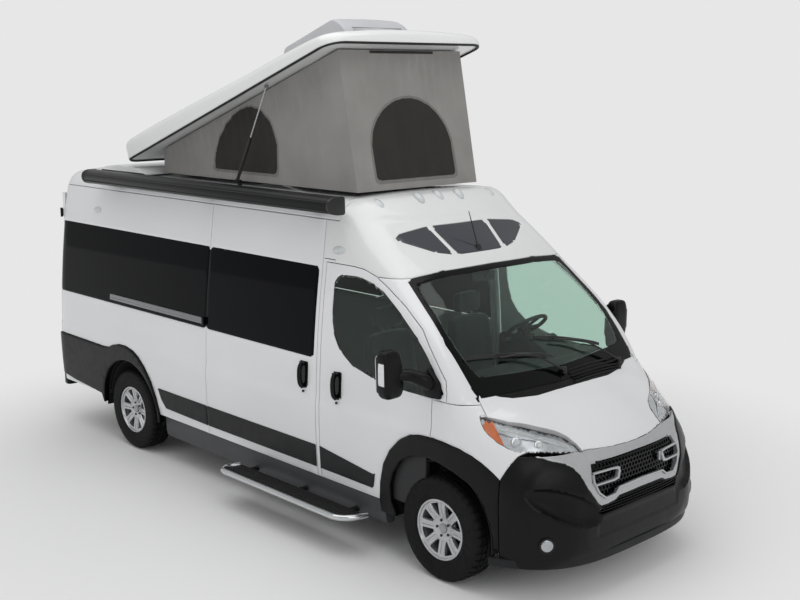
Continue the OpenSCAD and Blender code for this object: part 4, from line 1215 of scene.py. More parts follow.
        put(Region.SCRAP, (y > 0.5) & (inside(seen, self.front_open) | inside(seen, self.rear_open)))
        put(Region.SIDE_WALL, rear & (z < self.seam_z))
        put(Region.ROOF, rear & (z > 2.300) & (y < 0.9))
        put(Region.ROOF, rear & (z > self.seam_z))
        put(Region.TAIL_LAMP, rear & inside(front, self.tail_lamp))
        put(Region.REAR_DOOR, rear & inside(front, self.rear_door))
        put(Region.REAR_DOOR_PANE, rear & inside(front, self.rear_pane))
        put(Region.SCRAP, (z < self.sill) & (found != Region.CLADDING.value))
        put(Region.SCRAP, (z < 0.36))
        for face, number in zip(faces, found):
            face.material_index = int(number)

    def past_fender(self, x: np.ndarray, z: np.ndarray) -> np.ndarray:
        """Which points lie ahead of the fender's front edge.

        Args:
            x: places along the body.
            z: heights.
        Returns:
            One truth value per point.
        """
        heights, places = zip(*sorted((b, a) for a, b in self.fender_front))
        return x > np.interp(z, heights, places)

    def in_lamp(self, at: np.ndarray) -> np.ndarray:
        """Which points lie in the headlamp's outline.

        Args:
            at: one (x, y, z) row per point.
        Returns:
            One truth value per point.
        """
        x, y, z = at.T
        low = np.where(x < 0.575, self.under_line(x, z, self.lamp_side),
                       self.under_line(y, z, self.lamp_front))
        return (x > 0.26) & (y > 0.4) & (z > 0.96) & ~low \
            & self.under_line(x, y, self.lamp_in, above=True)

    def build_fascia(self) -> bmesh.types.BMesh:
        """Makes the left half of the van's face, from rays in level sections, cut and sorted.

        Returns:
            The sheet, its faces numbered by region.
        """
        levels = np.concatenate([np.arange(0.262, 0.60, 0.013), np.arange(0.60, 1.06, 0.0115)])
        turns = np.radians(np.linspace(0, 82, 92))
        z, turn = np.meshgrid(levels, turns, indexing="ij")
        reach = last_inside(
            lambda far: self.distance(0.2 + far * np.cos(turn), far * np.sin(turn), z) > 0,
            np.full(z.shape, 0.05), np.full(z.shape, 1.4))
        x, y = 0.2 + reach * np.cos(turn), reach * np.sin(turn)
        bm = bmesh.new()
        rows, columns = z.shape
        bmesh.ops.create_grid(bm, x_segments=columns - 1, y_segments=rows - 1, size=1)
        bm.verts.ensure_lookup_table()
        for i, vert in enumerate(bm.verts):
            row, column = divmod(i, columns)
            vert.co = (x[row, column], y[row, column], z[row, column])
        bm.normal_update()
        bm.faces.ensure_lookup_table()
        if bm.faces[0].normal.x < 0:
            bmesh.ops.reverse_faces(bm, faces=bm.faces)
        for line in (self.fender_front, self.hood_side):
            self.cut_outline(bm, line, 1, lambda c: True, False)
        self.cut_outline(bm, self.front_open, 1, lambda c: c.y > 0.55, True)
        self.cut_outline(bm, self.lamp_side, 1, lambda c: c.x < 0.62 and c.y > 0.6, False)
        self.cut_outline(bm, self.lamp_front, 0, lambda c: c.x > 0.54 and c.y > 0.4, False)
        self.cut_outline(bm, self.bumper_top, 0, lambda c: c.x > 0.55, False)
        for ring in (self.mesh_hole, self.intake):
            self.cut_outline(bm, ring, 0, lambda c: c.x > 0.75, True)
        bmesh.ops.remove_doubles(bm, verts=bm.verts, dist=4e-4)
        bmesh.ops.dissolve_degenerate(bm, edges=bm.edges, dist=2e-4)
        faces = list(bm.faces)
        at = np.array([f.calc_center_median() for f in faces])
        x, y, z = at.T
        seen, front = at[:, [0, 2]], at[:, [1, 2]]
        found = np.full(len(faces), Region.BUMPER.value)
        found[~self.under_line(y, z, self.bumper_top) & (x > 0.57)] = Region.SURROUND.value
        found[inside(front, self.mesh_hole) & (x > 0.7)] = Region.MESH.value
        found[inside(front, self.intake) & (x > 0.7)] = Region.INTAKE.value
        scrap = ~self.past_fender(x, z) | ~self.under_line(x, z, self.hood_side)
        scrap |= self.in_lamp(at)
        scrap |= inside(seen, self.front_open) & (y > 0.5)
        scrap |= (x < 0.53) & (z > 0.93)
        found[scrap] = Region.SCRAP.value
        for face, number in zip(faces, found):
            face.material_index = int(number)
        return bm

    def build_rear(self) -> bmesh.types.BMesh:
        """Makes the left rear door's slightly bellied sheet, with its pane marked.

        Returns:
            The sheet, its faces numbered by region.
        """
        bm = bmesh.new()
        bmesh.ops.create_grid(bm, x_segments=30, y_segments=56, size=1)
        (_, low), (wide, _), (_, high) = self.rear_door[:3]
        for vert in bm.verts:
            y = wide * (1 + vert.co.x) / 2
            z = low + (high - low) * (1 + vert.co.y) / 2
            belly = max(0.0, 1 - (y / 0.95) ** 2) * max(0.0, 1 - ((z - 1.45) / 1.1) ** 2)
            vert.co = (REAR_FACE + 0.001 - 0.010 * belly, y, z)
        bm.normal_update()
        bm.faces.ensure_lookup_table()
        if bm.faces[0].normal.x > 0:
            bmesh.ops.reverse_faces(bm, faces=bm.faces)
        self.cut_outline(bm, self.rear_pane, 0, lambda c: True, True)
        at = np.array([f.calc_center_median() for f in bm.faces])
        pane = inside(at[:, [1, 2]], self.rear_pane)
        for face, glazed in zip(bm.faces, pane):
            face.material_index = (Region.REAR_DOOR_PANE if glazed else Region.REAR_DOOR).value
        return bm

    def patch(self, side: Side, outline: Outline, axis: int,
              near: Callable[[Vector], bool]) -> bmesh.types.BMesh:
        """Copies the part of the uncut skin that lies in an outline.

        Args:
            side: which side, or both.
            outline: the patch's outline.
            axis: 1 for a side outline, 0 for a front one.
            near: which of the skin's faces may be in it, by their middles.
        Returns:
            The sheet, in the van's frame.
        """
        bm = self.raw.copy()
        far = [f for f in bm.faces if not near(f.calc_center_median())]
        bmesh.ops.delete(bm, geom=far, context="FACES")
        self.cut_outline(bm, outline, axis, near, True)
        faces = list(bm.faces)
        at = np.array([f.calc_center_median() for f in faces])
        kept = inside(at[:, [0, 2]] if axis == 1 else at[:, [1, 2]], outline)
        gone = [f for f, keep in zip(faces, kept) if not keep]
        bmesh.ops.delete(bm, geom=gone, context="FACES")
        on_side(bm, side)
        return bm

    @staticmethod
    def under_line(u: np.ndarray, v: np.ndarray, line: Outline, above: bool = False) -> np.ndarray:
        """Which points lie under an open line, or above it.

        Args:
            u: the points' first values.
            v: their second values.
            line: the line.
            above: whether to ask for those above it.
        Returns:
            One truth value per point.
        """
        us, vs = zip(*sorted(line))
        level = np.interp(u, us, vs)
        return v > level if above else v < level

    def take(self, side: Side, *regions: Region) -> bmesh.types.BMesh:
        """Copies some regions of the skin out, in the van's frame.

        Args:
            side: which side, or both.
            regions: the regions to take.
        Returns:
            Their faces, with material number 0.
        """
        doors = regions[0] in (Region.REAR_DOOR, Region.REAR_DOOR_PANE)
        face = regions[0].value >= Region.BUMPER.value
        bm = (self.fascia if face else self.rear if doors else self.bm).copy()
        wanted = {r.value for r in regions}
        gone = [f for f in bm.faces if f.material_index not in wanted]
        bmesh.ops.delete(bm, geom=gone, context="FACES")
        for face in bm.faces:
            face.material_index = 0
        on_side(bm, side)
        return bm


def extrude_rim(bm: bmesh.types.BMesh,
                rim: dict[bmesh.types.BMVert, tuple[Vector, Vector]]
                ) -> dict[bmesh.types.BMVert, tuple[Vector, Vector]]:
    """Extrudes the open edge of a sheet once.

    Args:
        bm: the sheet.
        rim: each rim vertex's inward direction in the sheet, and the sheet's normal there.
    Returns:
        The same directions for the new rim's vertices.
    """
    edges = [e for e in bm.edges if e.is_boundary and e.verts[0] in rim and e.verts[1] in rim]
    new = bmesh.ops.extrude_edge_only(bm, edges=edges)["geom"]
    fresh = [g for g in new if isinstance(g, bmesh.types.BMVert)]
    found = {}
    for vert in fresh:
        base = next(e.other_vert(vert) for e in vert.link_edges if e.other_vert(vert) in rim)
        found[vert] = rim[base]
    return found


def steady_normal(vert: bmesh.types.BMVert) -> Vector:
    """The normal over a vertex and its neighbours, weighted by area, so that slivers don't turn it.

    Args:
        vert: the vertex.
    Returns:
        The unit normal.
    """
    total = Vector()
    for near in [vert] + [e.other_vert(vert) for e in vert.link_edges]:
        for face in near.link_faces:
            total += face.normal * face.calc_area()
    return total.normalized()


def rim_of(bm: bmesh.types.BMesh, normals: dict[bmesh.types.BMVert, Vector]
           ) -> dict[bmesh.types.BMVert, tuple[Vector, Vector]]:
    """Finds the open edge of a sheet, with its inward direction and normal at each vertex.

    Args:
        bm: the sheet.
        normals: a normal for each vertex.
    Returns:
        For each rim vertex, its inward direction, shorter where the edge turns back, and normal.
    """
    sums: dict[bmesh.types.BMVert, Vector] = {}
    spans: dict[bmesh.types.BMVert, float] = {}
    for edge in bm.edges:
        if not edge.is_boundary:
            continue
        loop = edge.link_loops[0]
        along = loop.link_loop_next.vert.co - loop.vert.co
        normal = (normals[edge.verts[0]] + normals[edge.verts[1]]).normalized()
        span = min(along.length, 0.01) + 1e-6
        inward = normal.cross(along.normalized()) * span
        for vert in edge.verts:
            sums.setdefault(vert, Vector()).__iadd__(inward)
            spans[vert] = spans.get(vert, 0.0) + span
    return {v: (d / spans[v], normals[v]) for v, d in sums.items()}


def form_panel(bm: bmesh.types.BMesh, gap: float, edge: float, drop: float, wall: float) -> None:
    """Makes a cut sheet into a closed panel with a gap round it, a rolled edge and a wall.

    Args:
        bm: the sheet.
        gap: half the gap to the next panel.
        edge: width of the rolled edge.
        drop: how deep the edge rolls.
        wall: the depth of the panel.
    """
    bm.normal_update()
    steady = {v: steady_normal(v) for v in bm.verts}
    open_rim = {v for e in bm.edges if e.is_boundary for v in e.verts}
    near = bmesh.ops.find_doubles(bm, verts=bm.verts[:], keep_verts=list(open_rim),
                                  dist=gap + edge)["targetmap"]
    bmesh.ops.weld_verts(bm, targetmap={a: b for a, b in near.items() if a not in open_rim})
    bmesh.ops.dissolve_degenerate(bm, edges=bm.edges[:], dist=5e-4)
    steady = {v: steady.get(v) or steady_normal(v) for v in bm.verts}
    rim = rim_of(bm, steady)
    for vert, (inward, _) in rim.items():
        vert.co += inward * (gap + edge)
    copy = bmesh.ops.duplicate(bm, geom=[*bm.verts, *bm.edges, *bm.faces])
    inner = {v: copy["vert_map"][v] for v in rim}
    for vert, normal in steady.items():
        copy["vert_map"][vert].co -= normal * wall
    bmesh.ops.reverse_faces(bm, faces=[g for g in copy["geom"]
                                       if isinstance(g, bmesh.types.BMFace)])
    sources = {v: v for v in rim}
    ring = rim
    for out, down in ((0.65, 0.22), (0.30, 0.35), (0.05, 0.43)):
        next_ring = extrude_rim(bm, ring)
        for vert, (inward, normal) in next_ring.items():
            base = next(e.other_vert(vert) for e in vert.link_edges if e.other_vert(vert) in ring)
            sources[vert] = sources[base]
            vert.co -= inward * edge * out + normal * drop * down
        ring = next_ring
    last = extrude_rim(bm, ring)
    joined = {}
    for vert in last:
        base = next(e.other_vert(vert) for e in vert.link_edges if e.other_vert(vert) in ring)
        joined[vert] = inner[sources[base]]
    bmesh.ops.weld_verts(bm, targetmap=joined)
    bm.normal_update()


# ---------------------------------------------------------------- the scene


@dataclass
class Studio:
    """The camera, the floor and the soft light."""

    camera_place: tuple[float, float, float] = (5.282, -6.340, 3.427)
    heading: float = 136.75
    down: float = 10.96
    roll: float = 0.18
    lens: float = 52.27
    sensor: float = 36.0

    def build(self) -> None:
        """Makes the camera, the floor, the lamps and the world."""
        self.make_camera()
        self.make_floor()
        self.make_lamps()
        self.make_world()
        bpy.context.scene.view_settings.view_transform = "Standard"

    def make_camera(self) -> None:
        """Makes the camera at the height and angle of a person on a step ladder."""
        data = bpy.data.cameras.new("camera")
        data.lens = self.lens
        data.sensor_width = self.sensor
        data.clip_end = 200
        camera = bpy.data.objects.new("camera", data)
        bpy.context.scene.collection.objects.link(camera)
        yaw, pitch = math.radians(self.heading), math.radians(self.down)
        ahead = Vector((math.cos(yaw) * math.cos(pitch), math.sin(yaw) * math.cos(pitch),
                        -math.sin(pitch)))
        turn = ahead.to_track_quat("-Z", "Y") @ Matrix.Rotation(
            math.radians(-self.roll), 4, "Z").to_quaternion()
        camera.rotation_euler = turn.to_euler()
        camera.location = Vector(self.camera_place) + Vector((AXLE_X, 0, 0))
        bpy.context.scene.camera = camera

    def make_floor(self) -> None:
        """Makes the plain pale floor."""
        bm = bmesh.new()
        bmesh.ops.create_grid(bm, x_segments=1, y_segments=1, size=60)
        mesh = bpy.data.meshes.new("floor")
        bm.to_mesh(mesh)
        bm.free()
        floor = bpy.data.objects.new("floor", mesh)
        bpy.context.scene.collection.objects.link(floor)
        material = bpy.data.materials.new("pale_studio_floor")
        material.use_nodes = True
        tree = material.node_tree
        tree.nodes.clear()
        diffuse = add_node(tree, "ShaderNodeBsdfDiffuse", {"Color": linear("#f6f6f6")})
        glow = add_node(tree, "ShaderNodeEmission", {"Color": linear("#e7e7e7")})
        place = add_node(tree, "ShaderNodeTexCoord").outputs["Object"]
        far = add_node(tree, "ShaderNodeVectorMath", {"operation": "LENGTH"}, {0: place})
        share = add_node(tree, "ShaderNodeMapRange", {
            "interpolation_type": "SMOOTHSTEP", "From Min": 2.3, "From Max": 5.4},
            {"Value": far.outputs["Value"]})
        blend = add_node(tree, "ShaderNodeMixShader", links={
            0: share.outputs["Result"], 1: diffuse.outputs[0], 2: glow.outputs[0]})
        add_node(tree, "ShaderNodeOutputMaterial", links={"Surface": blend.outputs[0]})
        mesh.materials.append(material)

    def make_lamps(self) -> None:
        """Makes the soft lamps over and beside the van."""
        for name, place, aim, size, power in (
                ("overhead", (0.5, -1.0, 7.0), (0, 0, 1.0), (8.0, 6.0), 185),
                ("front_key", (8.5, -3.0, 4.5), (0.5, 0, 1.2), (4.0, 3.0), 60),
                ("side_fill", (-1.5, -9.0, 4.0), (-1.0, 0, 1.2), (8.0, 3.0), 20)):
            data = bpy.data.lights.new(name, "AREA")
            data.shape = "RECTANGLE"
            data.size, data.size_y = size
            data.energy = power
            lamp = bpy.data.objects.new(name, data)
            bpy.context.scene.collection.objects.link(lamp)
            lamp.location = place
            lamp.rotation_euler = (Vector(aim) - Vector(place)).to_track_quat("-Z", "Y").to_euler()

    def make_world(self) -> None:
        """Makes an even world light that the camera sees as a pale backdrop."""
        world = bpy.data.worlds.new("studio")
        bpy.context.scene.world = world
        world.use_nodes = True
        tree = world.node_tree
        tree.nodes.clear()
        path = add_node(tree, "ShaderNodeLightPath")
        seen = add_node(tree, "ShaderNodeMath", {"operation": "MAXIMUM"}, {
            0: path.outputs["Is Camera Ray"], 1: path.outputs["Is Transmission Ray"]})
        light = add_node(tree, "ShaderNodeBackground", {
            "Color": linear("#ffffff"), "Strength": 0.52})
        backdrop = add_node(tree, "ShaderNodeBackground", {
            "Color": linear("#e7e7e7"), "Strength": 1.0})
        mix = add_node(tree, "ShaderNodeMixShader", links={
            0: seen.outputs[0], 1: light.outputs[0], 2: backdrop.outputs[0]})
        add_node(tree, "ShaderNodeOutputWorld", links={"Surface": mix.outputs[0]})


@dataclass
class BodyPanels:
    """The painted panels, cut from the skin."""

    skin: Skin
    gap: float = 0.0025
    edge: float = 0.004
    wall: float = 0.045

    def panel(self, name: str, side: Side, body: str, nodes: Sequence[str],
              regions: Sequence[Region], finish: Finish = PAINT, slot: str = "body_white",
              wall: float | None = None) -> None:
        """Makes one panel with rolled edges and a wall.

        Args:
            name: the piece's name.
            side: which side, or both.
            body: the CAD body that it moves with.
            nodes: the CAD nodes that it stands for.
            regions: the skin's regions in it.
            finish: its finish.
            slot: not used.
            wall: its depth, where it isn't the usual one.
        """
        bm = self.skin.take(side, *regions)
        form_panel(bm, self.gap, self.edge, 0.004, wall or self.wall)
        piece(name, bm, [finish], body, nodes)

    def build(self) -> None:
        """Makes every painted panel."""
        self.panel("hood_panel", Side.BOTH, "hood", ["hood"], [Region.HOOD])
        self.panel("roof_panel", Side.BOTH, "root", ["roof"], [Region.ROOF])
        self.panel("nose_cap_moulding", Side.BOTH, "root", ["nose_cap"], [Region.CAP], GELCOAT,
                   "cap_white")
        self.panel("sliding_door_panel", Side.RIGHT, "root", ["sliding_door"], [Region.SLIDING])
        self.panel("side_panel_right", Side.RIGHT, "root", ["side_wall_right"],
                   [Region.SIDE_WALL])
        self.panel("side_panel_left", Side.LEFT, "root", ["side_wall_left"],
                   [Region.SIDE_WALL, Region.SLIDING])
        self.panel("cab_pillars", Side.BOTH, "root", ["cab_frame"], [Region.CAB_FRAME])
        self.panel("fenders", Side.BOTH, "root", ["front_fenders"], [Region.FENDER])
        for side in SIDES:
            self.panel(f"front_door_panel_{side.word}", side, f"front_door_{side.word}",
                       [f"front_door_{side.word}"], [Region.FRONT_DOOR], wall=0.010)
            self.door_card(side)
            self.panel(f"rear_door_panel_{side.word}", side, f"rear_door_{side.word}",
                       [f"rear_door_{side.word}"], [Region.REAR_DOOR])

    def door_card(self, side: Side) -> None:
        """Makes a front door's inner lining with its arm rest.

        Args:
            side: the side.
        """
        card = bmesh.new()
        outline = rounded([(-1.225, 0.460), (-0.150, 0.460), (-0.150, 1.265),
                           (-1.225, 1.265)], 0.04, 3)
        prism(card, outline, 1, 0.945, 0.992, 0.008)
        rest = rounded([(-1.10, 0.78), (-0.45, 0.80), (-0.45, 0.86), (-1.10, 0.84)], 0.02, 3)
        prism(card, rest, 1, 0.895, 0.950, 0.010)
        on_side(card, side)
        piece(f"door_card_{side.word}", card, [DASH_VINYL], f"front_door_{side.word}")


@dataclass
class Glazing:
    """Every pane, cut from the same skin."""

    skin: Skin

    def pane(self, name: str, side: Side, body: str, nodes: Sequence[str],
             regions: Sequence[Region], finish: Finish, slot: str, sink: float,
             thick: float = 0.005) -> None:
        """Makes one pane, sunk below the panel round it, or proud of it if sink is negative.

        Args:
            name: the piece's name.
            side: which side, or both.
            body: the CAD body that it moves with.
            nodes: the CAD nodes that it stands for.
            regions: the skin's regions in it.
            finish: the glass.
            slot: not used.
            sink: how far it is sunk.
            thick: its thickness.
        """
        bm = self.skin.take(side, *regions)
        lift_sheet(bm, -sink)
        form_panel(bm, 0.0008, 0.0012, 0.0012, thick)
        piece(name, bm, [finish], body, nodes)

    def build(self) -> None:
        """Makes every pane."""
        self.pane("windshield_glass", Side.BOTH, "root", ["windshield"], [Region.WINDSHIELD],
                  CAB_GLASS, "glass_tint", 0.004)
        self.pane("windshield_border", Side.BOTH, "root", [], [Region.WINDSHIELD_FRIT], FRIT,
                  "glass_dark", 0.004)
        # The sky panes' grey colour holds a painted reflection of the sky.
        self.pane("sky_panes", Side.BOTH, "root", [], [Region.SKY_PANE], SKY_GLASS_PAINTED_REFLECTION,
                  "glass_dark", 0.002)
        self.pane("side_glass_left", Side.LEFT, "root", ["fixed_windows"],
                  [Region.REAR_PANE, Region.SLIDE_PANE], DARK_GLASS, "glass_dark", -0.002)
        self.pane("side_glass_right", Side.RIGHT, "root", [], [Region.REAR_PANE], DARK_GLASS,
                  "glass_dark", -0.002)
        self.pane("sliding_door_glass", Side.RIGHT, "root", [], [Region.SLIDE_PANE], DARK_GLASS,
                  "glass_dark", -0.002)
        for side in SIDES:
            self.pane(f"cab_door_glass_{side.word}", side, f"front_door_{side.word}",
                      [f"front_door_glass_{side.word}"], [Region.CAB_PANE], DOOR_GLASS,
                      "glass_tint", 0.010)
            self.pane(f"rear_glass_{side.word}", side, f"rear_door_{side.word}",
                      [f"rear_door_glass_{side.word}"], [Region.REAR_DOOR_PANE], DARK_GLASS,
                      "glass_dark", -0.001)


@dataclass
class Trim:
    """The black lower cladding, mouldings, rocker, handles and small lamps of the sides."""

    skin: Skin
    lift: float = 0.018
    moulding_z: tuple[float, float] = (0.505, 0.680)
    moulding_out: float = 0.009
    grip_y: float = 1.029
    rail_y: float = 1.0185

    def build(self) -> None:
        """Makes every trim piece of both sides."""
        for side in SIDES:
            self.cladding(side)
            self.mouldings(side)
            self.rocker(side)
            self.handles(side)
            self.side_lamps(side)
            self.liners(side)
        self.rail()

    def cladding(self, side: Side) -> None:
        """Makes the arch flares and the corner shields of one side.

        Args:
            side: the side.
        """
        bm = self.skin.take(side, Region.CLADDING)

        def height(co: Vector) -> float:
            """How far the cladding stands off the skin; less towards the bumper."""
            x = co.x - AXLE_X
            front = 1 - 0.55 * min(max((x - 0.2) / 0.3, 0), 1)
            return self.lift * (front if x > 0.2 else 1.0)

        lift_sheet(bm, height)
        form_panel(bm, 0.0012, 0.010, 0.010, 0.055)
        replaced = ["lower_cladding"] if side is Side.RIGHT else []
        piece(f"arch_cladding_{side.word}", bm, [BLACK_PP], replaces=replaced)

    def mouldings(self, side: Side) -> None:
        """Makes the strips on the side panel, the sliding door and the front door.

        Args:
            side: the side.
        """
        low, high = self.moulding_z
        skin = self.skin
        spans = (("side", "root", skin.slide_back - 0.003, -3.531),
                 ("slide", "root", skin.pillar - 0.003, skin.slide_back + 0.003),
                 ("door", f"front_door_{side.word}", -0.640, skin.cab_back + 0.003))
        for name, body, front, back in spans:
            rear = [(back, high), (back, low)]
            if name == "side":
                rear = [(back, high + 0.003), (back + 0.045, low + 0.085),
                        (back + 0.115, low + 0.012)]
            ahead = [(front, low), (front, high)]
            if name == "door":
                ahead = [(front - 0.02, low - 0.005), (front, high - 0.075)]
            outline = rounded(rear + ahead, 0.012, 2)
            bm = skin.patch(side, outline, 1, lambda c: c.y > 0.9 and 0.4 < c.z < 0.8
                            and back - 0.2 < c.x < front + 0.2)
            lift_sheet(bm, self.moulding_out)
            form_panel(bm, 0.0, 0.007, 0.007, 0.008)
            piece(f"moulding_{name}_{side.word}", bm, [CHARCOAL], body)

    def rocker(self, side: Side) -> None:
        """Makes the dark sill under the white strip.

        Args:
            side: the side.
        """
        bm = bmesh.new()
        section = rounded([(0.905, 0.250), (0.975, 0.240), (0.990, 0.300), (0.992, 0.428),
                           (0.905, 0.430)], 0.015, 2)
        prism(bm, section, 0, -3.475, -0.560, 0.003)
        on_side(bm, side)
        piece(f"rocker_{side.word}", bm, [ROCKER_GREY])

    def handles(self, side: Side) -> None:
        """Makes the upright pull handles with their cups.

        Args:
            side: the side.
        """
        places = [("front", f"front_door_{side.word}", -1.065, 1.185)]
        if side is Side.RIGHT:
            places.append(("slide", "root", -1.455, 1.200))
        for name, body, x, z in places:
            near = (lambda c, x=x, z=z: abs(c.x - x) < 0.3 and abs(c.z - z) < 0.4 and c.y > 0.9)
            outline = rounded([(x - 0.056, z - 0.105), (x + 0.056, z - 0.105),
                               (x + 0.060, z + 0.105), (x - 0.052, z + 0.105)], 0.045, 5)
            bm = self.skin.patch(side, outline, 1, near)
            lift_sheet(bm, 0.004)
            form_panel(bm, 0.0, 0.005, 0.004, 0.006)
            y = self.grip_y
            grip = bmesh.new()
            path = smooth_path([(x + 0.012, y, z - 0.092), (x + 0.012, y + 0.026, z - 0.062),
                                (x + 0.010, y + 0.032, z), (x + 0.010, y + 0.025, z + 0.062),
                                (x + 0.010, y, z + 0.092)], 5)
            sweep(grip, path, bar(0.040, 0.016, 0.007), (1, 0, 0))
            rod(grip, (x + 0.012, y - 0.004, z - 0.128), (x + 0.012, y + 0.005, z - 0.128),
                0.010, segments=20, bevel=0.001)
            on_side(grip, side)
            add_part(bm, grip, 0)
            piece(f"{name}_handle_{side.word}", bm, [GLOSS_BLACK], body)

    def side_lamps(self, side: Side) -> None:
        """Makes the two oval side lamps of one side.

        Args:
            side: the side.
        """
        bm = bmesh.new()
        for x, z in ((-4.656, 2.184), (-1.131, 2.174)):
            y = float(self.skin.side_at(np.array([x]), np.array([z]))[0])
            lamp = bmesh.new()
            bmesh.ops.create_uvsphere(lamp, u_segments=28, v_segments=14, radius=1)
            add_part(bm, lamp, 0, Matrix.Translation((x, y - 0.004, z))
                     @ Matrix.Rotation(math.radians(-6), 4, "Y")
                     @ Matrix.Rotation(math.radians(10), 4, "X")
                     @ Matrix.Diagonal((0.074, 0.022, 0.031, 1)))
        on_side(bm, side)
        piece(f"side_lamps_{side.word}", bm, [LAMP_WHITE], "root")

    def liners(self, side: Side) -> None:
        """Makes the plastic liners over the front and rear wheels of one side.

        Args:
            side: the side.
        """
        bm = bmesh.new()
        for x, radius, low in ((-0.012, 0.470, 0.60), (REAR_AXLE, 0.486, 0.74)):
            outer = corner_arc((x, HUB_Z), radius + 0.006, -6, 186, 32)
            inner = corner_arc((x, HUB_Z), radius, 186, -6, 32)
            prism(bm, outer + inner, 1, low, 0.985)
        on_side(bm, side)
        piece(f"arch_liners_{side.word}", bm, [LINER_GREY])

    def rail(self) -> None:
        """Makes the sliding door's rail over the rear glass, with its cap and the roof rail."""
        bm = bmesh.new()
        y0 = self.rail_y
        prism(bm, rounded([(y0 - 0.012, 1.383), (y0 + 0.010, 1.385), (y0 + 0.006, 1.437),
                           (y0 - 0.016, 1.437)], 0.004, 2), 0, -4.31, -2.790, 0.002)
        prism(bm, rounded([(y0 - 0.010, 1.398), (y0 + 0.013, 1.398), (y0 + 0.012, 1.407),
                           (y0 - 0.010, 1.407)], 0.003, 2), 0, -4.30, -2.800, 0.001)
        block(bm, (-2.795, y0 - 0.014, 1.378), (-2.768, y0 + 0.012, 1.442), 0.003, 2, 1)
        on_side(bm, Side.RIGHT)
        piece("sliding_door_rail", bm, [RAIL_SILVER, BLACK_PP], "root")


